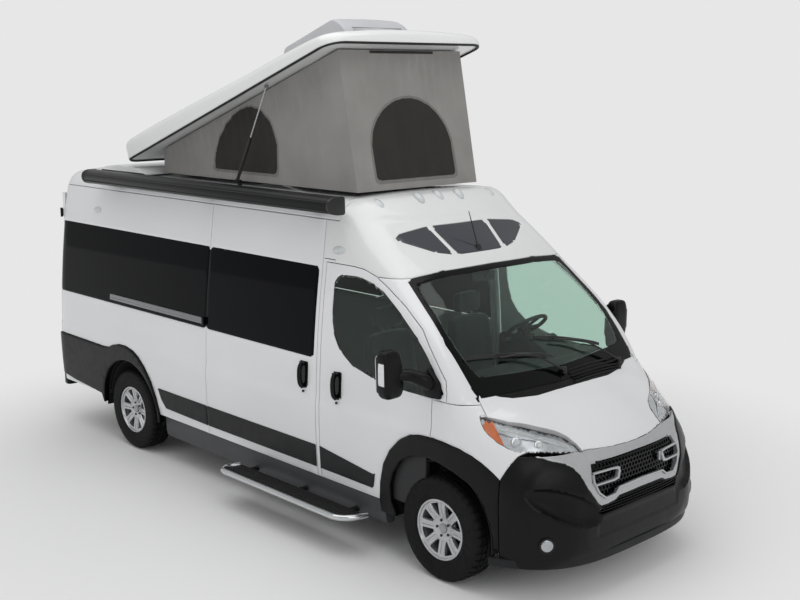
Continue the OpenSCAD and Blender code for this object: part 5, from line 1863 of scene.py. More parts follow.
@dataclass
class Front:
    """The bumper, grille, lamps, cowl and wipers."""

    skin: Skin
    nose_margin: float = 0.030
    nose_squeeze: float = 0.45
    comb_pitch: float = 0.034
    comb_wall: float = 0.005
    amber_from: float = 0.318
    amber_to: float = 0.452

    def build(self) -> None:
        """Makes the van's face."""
        self.bumper()
        self.lip()
        self.fog_lamps()
        self.surround()
        self.bars()
        self.honeycomb()
        self.intake()
        self.headlamp_lenses()
        self.headlamp_bowls()
        self.headlamp_reflectors()
        self.cowl()
        self.wipers()

    def recess(self, y: float, z: float) -> float:
        """How deep the bumper's side scoops are at a place.

        Args:
            y: the place across.
            z: its height.
        Returns:
            The depth.
        """
        u = (abs(y) - 0.66) / 0.235
        v = (z - 0.665 - 0.10 * (abs(y) - 0.66) / 0.25) / 0.105
        return 0.046 * max(0.0, 1 - (u * u + v * v) ** 2.2) ** 0.6

    def bumper(self) -> None:
        """Makes the black bumper with its side scoops."""
        bm = self.skin.take(Side.BOTH, Region.BUMPER)

        def height(co: Vector) -> float:
            """How far the cover stands off the skin, with its scoops and its flat panel."""
            panel = -0.010 if abs(co.y) < 0.46 and 0.435 < co.z < 0.56 else 0.0
            return 0.006 - self.recess(co.y, co.z) + panel

        lift_sheet(bm, height)
        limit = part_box("front_bumper")[1].x - self.nose_margin
        for vert in bm.verts:
            if vert.co.x > limit:
                vert.co.x = limit + (vert.co.x - limit) * self.nose_squeeze
        form_panel(bm, 0.001, 0.009, 0.010, 0.035)
        piece("bumper_cover", bm, [BLACK_PP], replaces=["front_bumper"])

    def lip(self) -> None:
        """Makes the bumper's lower lip."""
        lip = bmesh.new()
        path = [(0.46, -1.0), (0.56, -0.955), (0.68, -0.88), (0.78, -0.78), (0.86, -0.64),
                (0.905, -0.48), (0.925, -0.28), (0.930, 0.0)]
        full = path + [(x, -y) for x, y in path[-2::-1]]
        curve = smooth_path([(x - 0.012, y, 0.290) for x, y in full], 4)
        sweep(lip, curve, bar(0.030, 0.060, 0.010))
        shift(lip, dx=AXLE_X)
        piece("bumper_lower_lip", lip, [CHARCOAL])

    def fog_lamps(self) -> None:
        """Makes the two fog lamps."""
        fog = bmesh.new()
        for sign in (1, -1):
            at = Vector((0.785, sign * 0.815, 0.440))
            out = Vector((0.80, sign * 0.60, 0)).normalized()
            rod(fog, at - out * 0.03, at + out * 0.012, 0.058, segments=28, material=1, bevel=0.004)
            rod(fog, at + out * 0.010, at + out * 0.018, 0.043, 0.036, 28, 0, 0.003)
        shift(fog, dx=AXLE_X)
        piece("fog_lamps", fog, [LAMP_CHROME, GLOSS_BLACK], "root")

    def surround(self) -> None:
        """Makes the silver grille surround."""
        bm = self.skin.take(Side.BOTH, Region.SURROUND)
        form_panel(bm, 0.002, 0.007, 0.006, 0.030)
        piece("grille_surround", bm, [GRILLE_SILVER], "root", ["grille"])

    def bars(self) -> None:
        """Makes the bright inner frame and the C-shaped bars of the grille."""
        trim = bmesh.new()
        section = bar(0.013, 0.016, 0.003)
        rim = [self.at_face(y, z, 0.004) for y, z in
               [(0.475, 0.86), (0.478, 0.812), (0.443, 0.737), (0.386, 0.693), (0.290, 0.700),
                (0.248, 0.733), (0.0, 0.741)]]
        rim += [Vector((p.x, -p.y, p.z)) for p in rim[-2::-1]]
        sweep(trim, rim, section, (1, 0, 0))
        for sign in (1, -1):
            loop = [(0.474, 0.868), (0.30, 0.872), (0.252, 0.868), (0.246, 0.845), (0.262, 0.805),
                    (0.300, 0.796), (0.478, 0.793)]
            path = [self.at_face(y, z, 0.006) for y, z in loop]
            sweep(trim, [Vector((p.x, p.y * sign, p.z)) for p in path], section, (1, 0, 0),
                  taper=(1, 1, 1.4, 1.8, 1.8, 1.2, 1))
            block(trim, (0.900, sign * 0.235 - 0.012, 0.805), (0.916, sign * 0.235 + 0.012, 0.868),
                  0.004)
        shift(trim, dx=AXLE_X)
        piece("grille_bars", trim, [BRIGHT_TRIM], "root")

    def at_face(self, y: float, z: float, out: float = 0.0) -> Vector:
        """The point of the van's face at a place in its front view.

        Args:
            y: the place across.
            z: its height.
            out: how far ahead of the face the point stands.
        Returns:
            The point.
        """
        x = float(self.face_x(np.array([y]), np.array([z]))[0])
        return Vector((x + out, y, z))

    def face_x(self, y: np.ndarray, z: np.ndarray) -> np.ndarray:
        """How far forward the van's face is at some places in its front view.

        Args:
            y: the places across.
            z: their heights.
        Returns:
            The x of each.
        """
        flat = np.minimum(np.abs(y), 0.52)
        return last_inside(lambda x: self.skin.distance(x, flat, z) > 0,
                           np.full(len(y), 0.4), np.full(len(y), 1.1), 26)

    def honeycomb(self) -> None:
        """Makes the honeycomb behind the surround."""
        bm = bmesh.new()
        pitch, places = self.comb_pitch, []
        for row in range(9):
            z = 0.690 + row * pitch * 0.866
            for k in range(30):
                y = -0.50 + (k + 0.5 * (row % 2)) * pitch
                if abs(y) < 0.505:
                    places.append((y, z))
        turns = [math.radians(60 * k + 30) for k in range(6)]
        rings = [[(y + r * math.cos(a), z + r * math.sin(a)) for a in turns]
                 for y, z in places for r in (pitch * 0.577, pitch * 0.577 - self.comb_wall)]
        flat = np.array(rings).reshape(-1, 2)
        xs = self.face_x(flat[:, 0], flat[:, 1]) - 0.026
        verts = [bm.verts.new((x, y, z)) for x, (y, z) in zip(xs, flat)]
        for k in range(0, len(verts), 12):
            outer, inner = verts[k:k + 6], verts[k + 6:k + 12]
            for m in range(6):
                n = (m + 1) % 6
                bm.faces.new((outer[m], outer[n], inner[n], inner[m]))
        bmesh.ops.remove_doubles(bm, verts=bm.verts, dist=0.0008)
        bmesh.ops.solidify(bm, geom=bm.faces[:], thickness=0.008)
        shift(bm, dx=AXLE_X)
        piece("grille_honeycomb", bm, [GLOSS_BLACK])

    def intake(self) -> None:
        """Makes the slats of the lower intake and a dark shade plate behind the honeycomb: painted shade
        for the depth seen through the grille.
        """
        slats = bmesh.new()
        for z in (0.603, 0.620, 0.637, 0.654):
            path = [self.at_face(y, z, -0.022) for y in np.linspace(-0.43, 0.43, 13)]
            sweep(slats, path, bar(0.020, 0.004, 0.001))
        for y in np.linspace(-0.42, 0.42, 25):
            a, b = self.at_face(y, 0.598, -0.026), self.at_face(y, 0.662, -0.026)
            sweep(slats, [a, b], bar(0.003, 0.016, 0.001), (1, 0, 0))
        # A dark sheet behind the honeycomb and the intake: painted shade of the grille's depth.
        shade_plate = bmesh.new()
        bmesh.ops.create_grid(shade_plate, x_segments=12, y_segments=7, size=1)
        for vert in shade_plate.verts:
            y, z = vert.co.x * 0.49, 0.742 + vert.co.y * 0.202
            vert.co = self.at_face(y, z, -0.055)
        bmesh.ops.recalc_face_normals(shade_plate, faces=shade_plate.faces)
        bmesh.ops.solidify(shade_plate, geom=shade_plate.faces[:], thickness=0.004)
        add_part(slats, shade_plate, 0)
        shift(slats, dx=AXLE_X)
        piece("intake_slats", slats, [GLOSS_BLACK])

    def headlamp_lenses(self) -> None:
        """Makes the clear lenses."""
        lens = self.skin.take(Side.BOTH, Region.LAMP)
        form_panel(lens, 0.0015, 0.004, 0.003, 0.003)
        piece("headlamp_lenses", lens, [LENS], "root", ["headlamps"])

    def headlamp_bowls(self) -> None:
        """Makes the chrome bowls with their amber rear ends and black rims."""
        bowl = self.skin.take(Side.BOTH, Region.LAMP)
        for place, way in (((AXLE_X + self.amber_to, 0, 1.09), (1, 0, 0.9)),
                           ((AXLE_X + self.amber_from, 0, 0), (1, 0, 0))):
            bmesh.ops.bisect_plane(bowl, geom=[*bowl.verts, *bowl.edges, *bowl.faces],
                                   plane_co=place, plane_no=way)
        for face in bowl.faces:
            at = face.calc_center_median() - Vector((AXLE_X, 0, 0))
            amber = self.amber_from < at.x < self.amber_to - (at.z - 1.09) * 0.9
            edge = any(e.is_boundary for e in face.edges)
            face.material_index = 2 if edge else int(amber)

        def depth(co: Vector) -> float:
            """How deep the bowl lies behind the lens."""
            x = co.x - AXLE_X
            return -0.022 - 0.022 * math.sin(min(max((x - 0.30) / 0.42, 0), 1) * math.pi)

        lift_sheet(bowl, depth)
        bmesh.ops.solidify(bowl, geom=bowl.faces[:], thickness=0.004)
        piece("headlamp_bowls", bowl, [LAMP_CHROME, AMBER, GLOSS_BLACK], "root",
              sharp_deg=20)

    def headlamp_reflectors(self) -> None:
        """Makes the round lamps and the light strips in the bowls."""
        bulbs = bmesh.new()
        for sign in (1, -1):
            for x, y, z, r in ((0.500, 0.800, 1.066, 0.036), (0.600, 0.690, 1.046, 0.033)):
                at = Vector((x, y * sign, z))
                out = Vector((0.72, 0.45 * sign, 0.30)).normalized()
                rod(bulbs, at - out * 0.03, at + out * 0.004, r, segments=28, bevel=0.003)
                rod(bulbs, at + out * 0.003, at + out * 0.012, r * 0.72, r * 0.5, 28, 1, 0.002)
            path = [(0.40, 0.872, 1.155), (0.50, 0.775, 1.128), (0.60, 0.645, 1.075),
                    (0.69, 0.530, 1.022)]
            curve = smooth_path([(x, y * sign, z - 0.010) for x, y, z in path], 5)
            sweep(bulbs, curve, bar(0.007, 0.014, 0.002), material=1)
        shift(bulbs, dx=AXLE_X)
        piece("headlamp_reflectors", bulbs, [LAMP_CHROME, LAMP_WHITE], "root")

    def cowl(self) -> None:
        """Makes the black scuttle and its slats."""
        bm = self.skin.take(Side.BOTH, Region.COWL)
        lift_sheet(bm, -0.006)
        form_panel(bm, 0.001, 0.003, 0.002, 0.020)
        for i in range(5):
            x = 0.262 + 0.017 * i
            path = []
            for y in np.linspace(0.02, 0.60, 9):
                z = float(self.skin.top_at(np.array([x - 0.05 * y]), np.array([y]))[0])
                path.append((AXLE_X + x - 0.05 * y, y, z + 0.001))
            sweep(bm, path, bar(0.008, 0.012, 0.002))
        piece("cowl_scuttle", bm, [BLACK_PP], replaces=["cowl"])

    def wipers(self) -> None:
        """Makes the two wipers lying on the glass."""
        bm = bmesh.new()
        for foot, elbow, tip, blade in (
                ((0.268, -0.03), (0.150, -0.30), (0.105, -0.56), ((0.165, -0.10), (0.04, -0.82))),
                ((0.262, 0.62), (0.150, 0.30), (0.100, 0.02), ((0.155, 0.50), (0.06, -0.14)))):
            points = [self.glass(*foot, 0.030), self.glass(*elbow, 0.055), self.glass(*tip, 0.034)]
            sweep(bm, smooth_path(points, 5), bar(0.022, 0.012, 0.004),
                  taper=[1.2 - 0.5 * i / 10 for i in range(11)])
            base = self.glass(*foot, 0.0)
            rod(bm, base, base + Vector((0, 0, 0.045)), 0.020, 0.017, 18, bevel=0.003)
            (x0, y0), (x1, y1) = blade
            line = [self.glass(x0 + (x1 - x0) * t, y0 + (y1 - y0) * t, 0.016)
                    for t in np.linspace(0, 1, 13)]
            sweep(bm, line, bar(0.012, 0.020, 0.003), taper=[0.6] + [1.0] * 11 + [0.6])
            low = [p - Vector((0, 0, 0.011)) for p in line]
            sweep(bm, low, bar(0.006, 0.008, 0.001))
        piece("wiper_pair", bm, [SATIN_BLACK], replaces=["wipers"])

    def glass(self, x: float, y: float, out: float) -> Vector:
        """A point over the windshield.

        Args:
            x: the place along the van.
            y: the place across.
            out: how far it stands off the glass.
        Returns:
            The point, in the van's frame.
        """
        z = float(self.skin.top_at(np.array([x]), np.array([abs(y)]))[0])
        return Vector((AXLE_X + x + out * 0.7, y, z + out * 0.7))


@dataclass
class Mirror:
    """A door mirror with its foot, arm, housing, glass and turn lamp."""

    side: Side

    def build(self) -> None:
        """Makes one mirror."""
        bm = bmesh.new()
        foot = rounded([(-0.135, 1.312), (0.020, 1.300), (0.010, 1.400), (-0.095, 1.500),
                        (-0.150, 1.430)], 0.02, 3)
        prism(bm, foot, 1, 0.985, 1.035, 0.010)
        arm = smooth_path([(-0.075, 1.020, 1.395), (-0.100, 1.075, 1.425), (-0.165, 1.130, 1.452),
                           (-0.205, 1.200, 1.455)], 5)
        sweep(bm, arm, oval(0.075, 0.085, 14), taper=[1.25 - 0.35 * i / 15 for i in range(16)])
        head = bmesh.new()
        bmesh.ops.create_cube(head, size=1)
        bmesh.ops.subdivide_edges(head, edges=head.edges[:], cuts=7, use_grid_fill=True)
        for vert in head.verts:
            p = vert.co * 2
            q = Vector([abs(c) for c in p])
            k = (q.x ** 5 + q.y ** 5 + q.z ** 5) ** 0.2
            p = p / k if k else p
            wide = 0.088 - 0.008 * (p.z > 0) * p.z
            deep = 0.056 * (1 - 0.30 * max(p.x, 0) * (abs(p.z) ** 2))
            vert.co = (-0.230 + p.x * deep, 1.250 + p.y * wide + 0.010 * p.z, 1.468 + p.z * 0.166)
        add_part(bm, head, 0)
        glass = rounded([(1.172, 1.335), (1.322, 1.335), (1.330, 1.600), (1.180, 1.600)], 0.03, 4)
        prism(bm, glass, 0, -0.2895, -0.283, 0.001, material=1)
        lamp = rounded([(1.3355, 1.40), (1.3440, 1.42), (1.3445, 1.53), (1.338, 1.56)], 0.004, 2)
        prism(bm, lamp, 0, -0.245, -0.190, 0.003, material=2)
        on_side(bm, self.side)
        word = self.side.word
        piece(f"mirror_housing_{word}", bm, [BLACK_PP, MIRROR_GLASS, LENS_SOLID],
              f"front_door_{word}", [f"mirror_{word}"])


@dataclass
class Wheel:
    """A tyre on an alloy rim, built round its hub and facing left."""

    name: str
    side: Side
    tyre_r: float = 0.370
    half_w: float = 0.1115
    rim_r: float = 0.212
    spokes: int = 8

    def build(self) -> None:
        """Makes the tyre and the rim."""
        node = f"{self.name}_{self.side.word}"
        body = f"wheel_{node}"
        hub = box_middle(f"tyre_{node}")
        for label, made, finishes, slot in (
                ("tyre", self.tyre(), [TYRE_RUBBER], "tyre"),
                ("rim", self.rim(), [ALLOY, ALLOY_DARK, CAP_GREY], "alloy")):
            if self.side is Side.RIGHT:
                bmesh.ops.transform(made, matrix=Matrix.Rotation(math.pi, 4, "Z"),
                                    verts=made.verts)
            bmesh.ops.translate(made, verts=made.verts, vec=hub)
            piece(f"{label}_dressed_{node}", made, finishes, body, [f"{label}_{node}"])

    def spin(self, bm: bmesh.types.BMesh, profile: Outline, steps: int, material: int = 0,
             close: bool = True) -> list:
        """Turns an (outward y, radius) profile round the axle.

        Args:
            bm: the mesh.
            profile: the profile.
            steps: how many pieces the turn has.
            material: the material number.
            close: whether the last point joins the first.
        Returns:
            Its vertices.
        """
        part = bmesh.new()
        verts = [part.verts.new((0, y, r)) for y, r in profile]
        pairs = list(zip(verts, verts[1:])) + ([(verts[-1], verts[0])] if close else [])
        edges = [part.edges.new(pair) for pair in pairs]
        bmesh.ops.spin(part, geom=[*verts, *edges], axis=(0, 1, 0), cent=(0, 0, 0),
                       angle=2 * math.pi, steps=steps, use_merge=True)
        bmesh.ops.remove_doubles(part, verts=part.verts, dist=1e-5)
        bmesh.ops.recalc_face_normals(part, faces=part.faces)
        return add_part(bm, part, material)

    def tyre(self) -> bmesh.types.BMesh:
        """Makes the carcass with its tread blocks and raised rings.

        Returns:
            The tyre, round the origin.
        """
        bm = bmesh.new()
        w, r = self.half_w, self.tyre_r
        side = [(w * 0.80, r - 0.004), (w * 0.93, r - 0.016), (w * 0.985, r - 0.034),
                (w, r - 0.060), (w, r - 0.064), (w, r - 0.088), (w * 0.995, r - 0.110),
                (w * 0.975, r - 0.128), (w * 0.985, r - 0.131), (w * 0.975, r - 0.134),
                (w * 0.92, r - 0.150), (w * 0.90, self.rim_r)]
        ribs = [(w * 0.62, r - 0.001), (w * 0.60, r - 0.009), (w * 0.54, r - 0.009),
                (w * 0.52, r), (w * 0.24, r), (w * 0.22, r - 0.009), (w * 0.14, r - 0.009),
                (w * 0.12, r)]
        half = ribs[::-1] + side
        outline = [(-a, b) for a, b in half[::-1]] + half
        self.spin(bm, outline, 120)
        blocks = []
        for face in bm.faces:
            c = face.calc_center_median()
            on_rib = w * 0.60 < abs(c.y) < w * 0.92 or w * 0.24 < abs(c.y) < w * 0.52
            third = round(math.degrees(math.atan2(c.z, c.x)) / 3) % 3 == 0
            if on_rib and third and math.hypot(c.x, c.z) > r - 0.012:
                blocks.append(face)
        bmesh.ops.inset_individual(bm, faces=blocks, thickness=0.0012)
        for face in blocks:
            for vert in face.verts:
                flat = Vector((vert.co.x, 0, vert.co.z))
                vert.co -= flat.normalized() * 0.006
        return bm

    def rim(self) -> bmesh.types.BMesh:
        """Makes the barrel and the eight-spoke face with its centre cap and nuts.

        Returns:
            The rim, round the origin.
        """
        bm = bmesh.new()
        rr = self.rim_r
        barrel = [(0.098, rr + 0.006), (0.104, rr + 0.002), (0.104, rr - 0.008),
                  (0.090, rr - 0.014), (0.060, rr - 0.020), (-0.090, rr - 0.030),
                  (-0.100, rr - 0.004), (-0.098, rr + 0.002), (-0.085, rr - 0.008),
                  (0.0, rr - 0.014), (0.085, rr - 0.004)]
        self.spin(bm, barrel, 72)
        # The hub and brake disc behind the spokes, in the dark grey that paints the wheel's inner shade.
        self.spin(bm, [(-0.02, 0.03), (0.02, 0.03), (0.02, 0.145), (-0.02, 0.145)], 48, 1)
        self.face(bm)
        cap = [(0.078, 0.0005), (0.078, 0.026), (0.072, 0.033), (0.050, 0.034), (0.050, 0.0005)]
        self.spin(bm, cap, 36, 2)
        for i in range(5):
            a = 2 * math.pi * i / 5
            x, z = 0.058 * math.cos(a), 0.058 * math.sin(a)
            rod(bm, (x, 0.045, z), (x, 0.073, z), 0.011, 0.010, 6, 1, 0.002)
        return bm

    def dish(self, radius: float) -> float:
        """How far out the wheel's face stands at a radius.

        Args:
            radius: the radius.
        Returns:
            The distance.
        """
        return float(np.interp(radius, (0.0, 0.036, 0.075, 0.095, 0.14, 0.185, 0.200, 0.212),
                               (0.064, 0.064, 0.066, 0.074, 0.083, 0.088, 0.092, 0.098)))

    def face(self, bm: bmesh.types.BMesh) -> None:
        """Makes the spoked face from a polar grid whose lines follow the spokes.

        Args:
            bm: the rim's mesh.
        """
        radii = [0.034, 0.055, 0.078, 0.088, 0.094, 0.110, 0.130, 0.150, 0.168, 0.180, 0.186,
                 0.196, 0.205]
        sector = 2 * math.pi / self.spokes
        shares = [0.0, 0.22, 0.34, 0.90, 1.0, 1.10, 1.35, 1.6]
        part = bmesh.new()
        rings = []
        for radius in radii:
            edge = min(0.030 + 0.10 * max(0, radius - 0.15), 0.40 * radius) / radius
            edge = min(edge, sector * 0.42)
            half = [s * edge for s in shares[:5]]
            rest = sector / 2
            half += [edge + (rest - edge) * t for t in (0.25, 0.6, 1.0)]
            turns = half + [sector - h for h in half[-2:0:-1]]
            ring = []
            for k in range(self.spokes):
                for j, turn in enumerate(turns):
                    at = k * sector + turn
                    share = j if j < 8 else 14 - j
                    groove = 0.007 if share < 2 and 0.09 < radius < 0.190 else 0.0
                    crown = -0.006 if share == 4 and 0.09 < radius < 0.19 else 0.0
                    ring.append(part.verts.new((radius * math.cos(at),
                                                self.dish(radius) - groove + crown,
                                                radius * math.sin(at))))
            rings.append(ring)
        count = len(rings[0])
        per = count // self.spokes
        for i, (low, high) in enumerate(zip(rings, rings[1:])):
            for k in range(count):
                j = k % per
                if 4 <= j <= per - 5 and 4 <= i <= 9:
                    continue
                part.faces.new((low[k], high[k], high[(k + 1) % count], low[(k + 1) % count]))
        bmesh.ops.recalc_face_normals(part, faces=part.faces)
        top = next(iter(part.faces))
        if top.normal.y < 0:
            bmesh.ops.reverse_faces(part, faces=part.faces)
        bmesh.ops.solidify(part, geom=part.faces[:], thickness=0.030)
        add_part(bm, part, 0)


@dataclass
class PopTop:
    """The raised roof: shell, air conditioner and the tent under it."""

    hinge: Vector = field(default_factory=lambda: Vector((-4.300, 0.0, 2.600)))
    lift: float = math.radians(18.9)
    half: float = 0.833
    front: float = 3.185
    rear: float = 0.032

    def at(self, u: float, v: float, y: float = 0.0) -> Vector:
        """A point given along and above the raised roof's base line.

        Args:
            u: how far along it.
            v: how far above it.
            y: the place across.
        Returns:
            The point, in the van's frame.
        """
        return Vector((AXLE_X + self.hinge.x + u * math.cos(self.lift) - v * math.sin(self.lift),
                       y, self.hinge.z + u * math.sin(self.lift) + v * math.cos(self.lift)))

    def top(self, u: float, y: float) -> float:
        """Height of the shell's top over its base line.

        Args:
            u: how far along it.
            y: the place across.
        Returns:
            The height.
        """
        crown = float(curve_value(np.array([u]), [
            (0.0, 0.200), (0.10, 0.248), (0.294, 0.262), (1.20, 0.244), (2.00, 0.216),
            (2.70, 0.199), (2.95, 0.188), (3.10, 0.170), (3.18, 0.152)])[0])
        return crown - 0.040 * (y / self.half) ** 2 - 0.010 * (abs(y) / self.half) ** 6

    def shell(self) -> None:
        """Makes the glass-fibre shell from loops that step in from its edge."""
        steps = [(0.020, None, 0.043), (0.004, None, 0.043), (0.0, None, 0.048),
                 (0.0, 0.050, 0.0), (0.006, 0.030, 0.0),
                 (0.018, 0.014, 0.0), (0.036, 0.004, 0.0), (0.060, 0.0, 0.0), (0.10, 0.0, 0.0),
                 (0.18, 0.0, 0.0), (0.28, 0.0, 0.0), (0.40, 0.0, 0.0), (0.52, 0.0, 0.0),
                 (0.64, 0.0, 0.0), (0.74, 0.0, 0.0), (0.81, 0.0, 0.0)]
        bm = bmesh.new()
        rings = []
        for inset, drop, level in steps:
            low_u, high_u = self.rear + inset, self.front - inset
            half = self.half - inset
            corner = max(0.012, 0.14 - inset * 0.8)
            loop = self.loop(low_u, high_u, half, corner)
            ring = []
            for u, y in loop:
                v = level if drop is None else self.top(u, y) - drop
                ring.append(bm.verts.new(self.at(u, max(v, level, 0.049 if drop else 0.043), y)))
            rings.append(ring)
        loft(bm, rings)
        piece("poptop_moulding", bm, [GELCOAT], "poptop", ["poptop_shell"], 30)

    def seal(self) -> None:
        """Makes the rubber seal under the shell's rim."""
        seal = bmesh.new()
        loop = self.loop(self.rear + 0.016, self.front - 0.016, self.half - 0.016, 0.13)
        path = [self.at(u, 0.046, y) for u, y in loop]
        sweep(seal, path, bar(0.026, 0.028, 0.006),
              Vector((-math.sin(self.lift), 0, math.cos(self.lift))), closed=True)
        piece("poptop_seal", seal, [RUBBER], "poptop")

    @staticmethod
    def loop(low: float, high: float, half: float, corner: float) -> Outline:
        """A rounded rectangle with evenly numbered points, (u, y).

        Args:
            low: where it starts.
            high: where it ends.
            half: half its width.
            corner: the radius of its corners.
        Returns:
            Its points.
        """
        found: Outline = []
        for (cu, cy), start in (((high - corner, half - corner), 0), ((low + corner, half - corner), 90),
                                ((low + corner, -half + corner), 180),
                                ((high - corner, -half + corner), 270)):
            found += corner_arc((cu, cy), corner, start, start + 90, 6)
            nexts = {0: (low + corner, half), 90: (low, -half + corner),
                     180: (high - corner, -half), 270: (high, half - corner)}[start]
            last = found[-1]
            count = 26 if start in (0, 180) else 14
            found += [(last[0] + (nexts[0] - last[0]) * t, last[1] + (nexts[1] - last[1]) * t)
                      for t in np.linspace(0, 1, count + 2)[1:-1]]
        return found

    def air_conditioner(self) -> None:
        """Makes the low roof unit with its vented cover."""
        bm = bmesh.new()
        lower = [(1.995, 0.195), (2.845, 0.195), (2.850, 0.276), (2.800, 0.350), (2.728, 0.409),
                 (2.062, 0.409), (2.010, 0.340), (1.992, 0.270)]
        sections = ((0.343, 0.0), (0.338, 0.010), (0.318, 0.020), (0.285, 0.026), (0.15, 0.034),
                    (0.0, 0.038))
        rings = []
        outline = rounded(lower, 0.03, 4)
        for y, grow in [(-y, g) for y, g in sections[:-1]] + list(sections[::-1]):
            ring = []
            for u, v in outline:
                v2 = 0.195 + (v - 0.195) * (0.93 + grow * 1.8)
                u2 = 2.42 + (u - 2.42) * (0.955 + grow * 1.1)
                ring.append(bm.verts.new(self.at(u2, v2, y)))
            rings.append(ring)
        loft(bm, rings)
        # The slats carry the darker grey: painted shade of the vents.
        for i in range(6):
            path = [self.at(2.16 + 0.085 * i, 0.404, y) for y in np.linspace(-0.20, 0.20, 7)]
            sweep(bm, path, bar(0.028, 0.012, 0.004), (0, 0, 1), 1)
        for i in range(4):
            v = 0.222 + 0.022 * i
            path = [self.at(2.846 - 0.004 * i, v, y) for y in np.linspace(-0.26, 0.26, 7)]
            sweep(bm, path, bar(0.010, 0.010, 0.003), (0, 0, 1), 1)
        piece("air_conditioner_cover", bm, [AC_PLASTIC, VENT_PAINTED_SHADE], "poptop",
              ["air_conditioner"])

    def build(self) -> None:
        """Makes the raised roof."""
        self.shell()
        self.seal()
        self.air_conditioner()
        for node, finish in (("strut_cylinders", SATIN_BLACK), ("strut_rods", STEEL),
                             ("hinge_brackets", SATIN_BLACK)):
            dress(node, finish)
        Tent(self).build()


@dataclass
class Tent:
    """The canvas under the raised roof, with arched mesh windows."""

    roof: PopTop
    half: float = 0.648
    foot: float = 2.566
    back: float = -3.878
    front: float = -1.226
    spans: tuple[int, ...] = (144, 76, 144, 76)
    rows: int = 52

    def wall_point(self, s: float, t: float) -> Vector:
        """A point of the canvas: s runs round it from the right rear corner, t runs up it.

        Args:
            s: 0 to 4, one for each wall.
            t: 0 at the foot to 1 at the top.
        Returns:
            The point.
        """
        low = [Vector((AXLE_X + self.back, -self.half, self.foot)),
               Vector((AXLE_X + self.front, -self.half, self.foot)),
               Vector((AXLE_X + self.front, self.half, self.foot)),
               Vector((AXLE_X + self.back, self.half, self.foot))]
        high = [self.roof.at(0.458, 0.030, -self.half), self.roof.at(3.045, 0.030, -self.half),
                self.roof.at(3.045, 0.030, self.half), self.roof.at(0.458, 0.030, self.half)]
        i = min(int(s), 3)
        f = s - i
        a = low[i].lerp(low[(i + 1) % 4], f)
        b = high[i].lerp(high[(i + 1) % 4], f)
        return a.lerp(b, t)

    def build(self) -> None:
        """Makes the canvas walls and their trims."""
        rng = random.Random(7)
        bm = bmesh.new()
        ss = [i + k / n for i, n in enumerate(self.spans) for k in range(n)]
        waves = [(rng.uniform(2, 9), rng.uniform(0, 6.28), rng.uniform(-4, 4), rng.uniform(0.3, 1))
                 for _ in range(16)]
        rings = []
        for t in (r / self.rows for r in range(self.rows + 1)):
            ring = []
            for s in ss:
                p = self.wall_point(s, t)
                i, f = int(s), s - int(s)
                out = (Vector((0, -1, 0)), Vector((1, 0, 0.18)), Vector((0, 1, 0)),
                       Vector((-1, 0, 0)))[i]
                edge = math.sin(math.pi * f) ** 0.5 * math.sin(math.pi * t) ** 0.6
                sag = -0.022 * math.sin(math.pi * f) * math.sin(math.pi * t)
                folds = sum(w * math.sin(k * 2.2 * f + ph + tilt * t) for k, ph, tilt, w in waves)
                turns = (150, 78)[i % 2]
                fan = math.sin(f * turns + 2 * math.sin(9 * f)) * math.exp(-(1 - t) / 0.22)
                hem = math.sin(f * turns * 0.7 + 3 * math.sin(5 * f)) * math.exp(-t / 0.16) * 0.8
                ring.append(bm.verts.new(p + out * (sag + edge * folds * 0.0026
                                                    + (fan + hem) * 0.011 * min(1, 12 * t, 12 - 12 * t)
                                                    * math.sin(math.pi * f) ** 0.4)))
            rings.append(ring)
        loft(bm, rings, ends=False)
        self.mark_windows(bm)
        bmesh.ops.solidify(bm, geom=bm.faces[:], thickness=0.003)
        cloth = piece("tent_canvas", bm, [CANVAS, TENT_MESH, CANVAS_BINDING], "root",
                      ["tent"], 60)
        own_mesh(cloth)

    def mark_windows(self, bm: bmesh.types.BMesh) -> None:
        """Cuts the windows and their bindings into the cloth and gives them their materials.

        Args:
            bm: the cloth.
        """
        side = rounded([(-3.094, 2.645), (-2.214, 2.645), (-2.222, 2.892), (-2.300, 3.060),
                        (-2.420, 3.155), (-2.561, 3.182), (-2.730, 3.135), (-2.870, 3.050),
                        (-2.995, 2.925), (-3.075, 2.790)], 0.05, 3)
        side = [(x + AXLE_X, z) for x, z in side]
        front = rounded([(-0.425, 2.872), (-0.425, 2.640), (0.425, 2.640), (0.425, 2.872)],
                        0.04, 3)[4:-4] + [(0.425 * math.cos(a), 2.872 + 0.378 * math.sin(a))
                                          for a in np.radians(np.linspace(0, 180, 25))]
        slot = rounded([(-0.337, 3.590), (0.337, 3.590), (0.337, 3.612), (-0.337, 3.612)], 0.008, 2)
        marks = []
        for outline, axis, wall in ((side, 1, lambda c: abs(c.y) > self.half - 0.07),
                                    (front, 0, lambda c: c.x > AXLE_X - 1.46 and abs(c.y) < 0.6),
                                    (slot, 0, lambda c: c.x > AXLE_X - 1.46 and abs(c.y) < 0.6)):
            u, v = np.mean(outline, axis=0)
            border = [(u + (a - u) * 1.055, v + (b - v) * 1.075) for a, b in outline]
            for ring, number in ((border, 2), (outline, 1)):
                if outline is slot and number == 2:
                    continue
                Skin.cut_outline(bm, ring, axis, wall, True)
                marks.append((ring, axis, wall, number))
        faces = list(bm.faces)
        middles = [f.calc_center_median() for f in faces]
        at = np.array(middles)
        for ring, axis, wall, number in marks:
            hit = inside(at[:, [0, 2]] if axis else at[:, [1, 2]], ring)
            hit &= np.array([wall(c) for c in middles])
            for face, marked in zip(faces, hit):
                if marked:
                    face.material_index = number


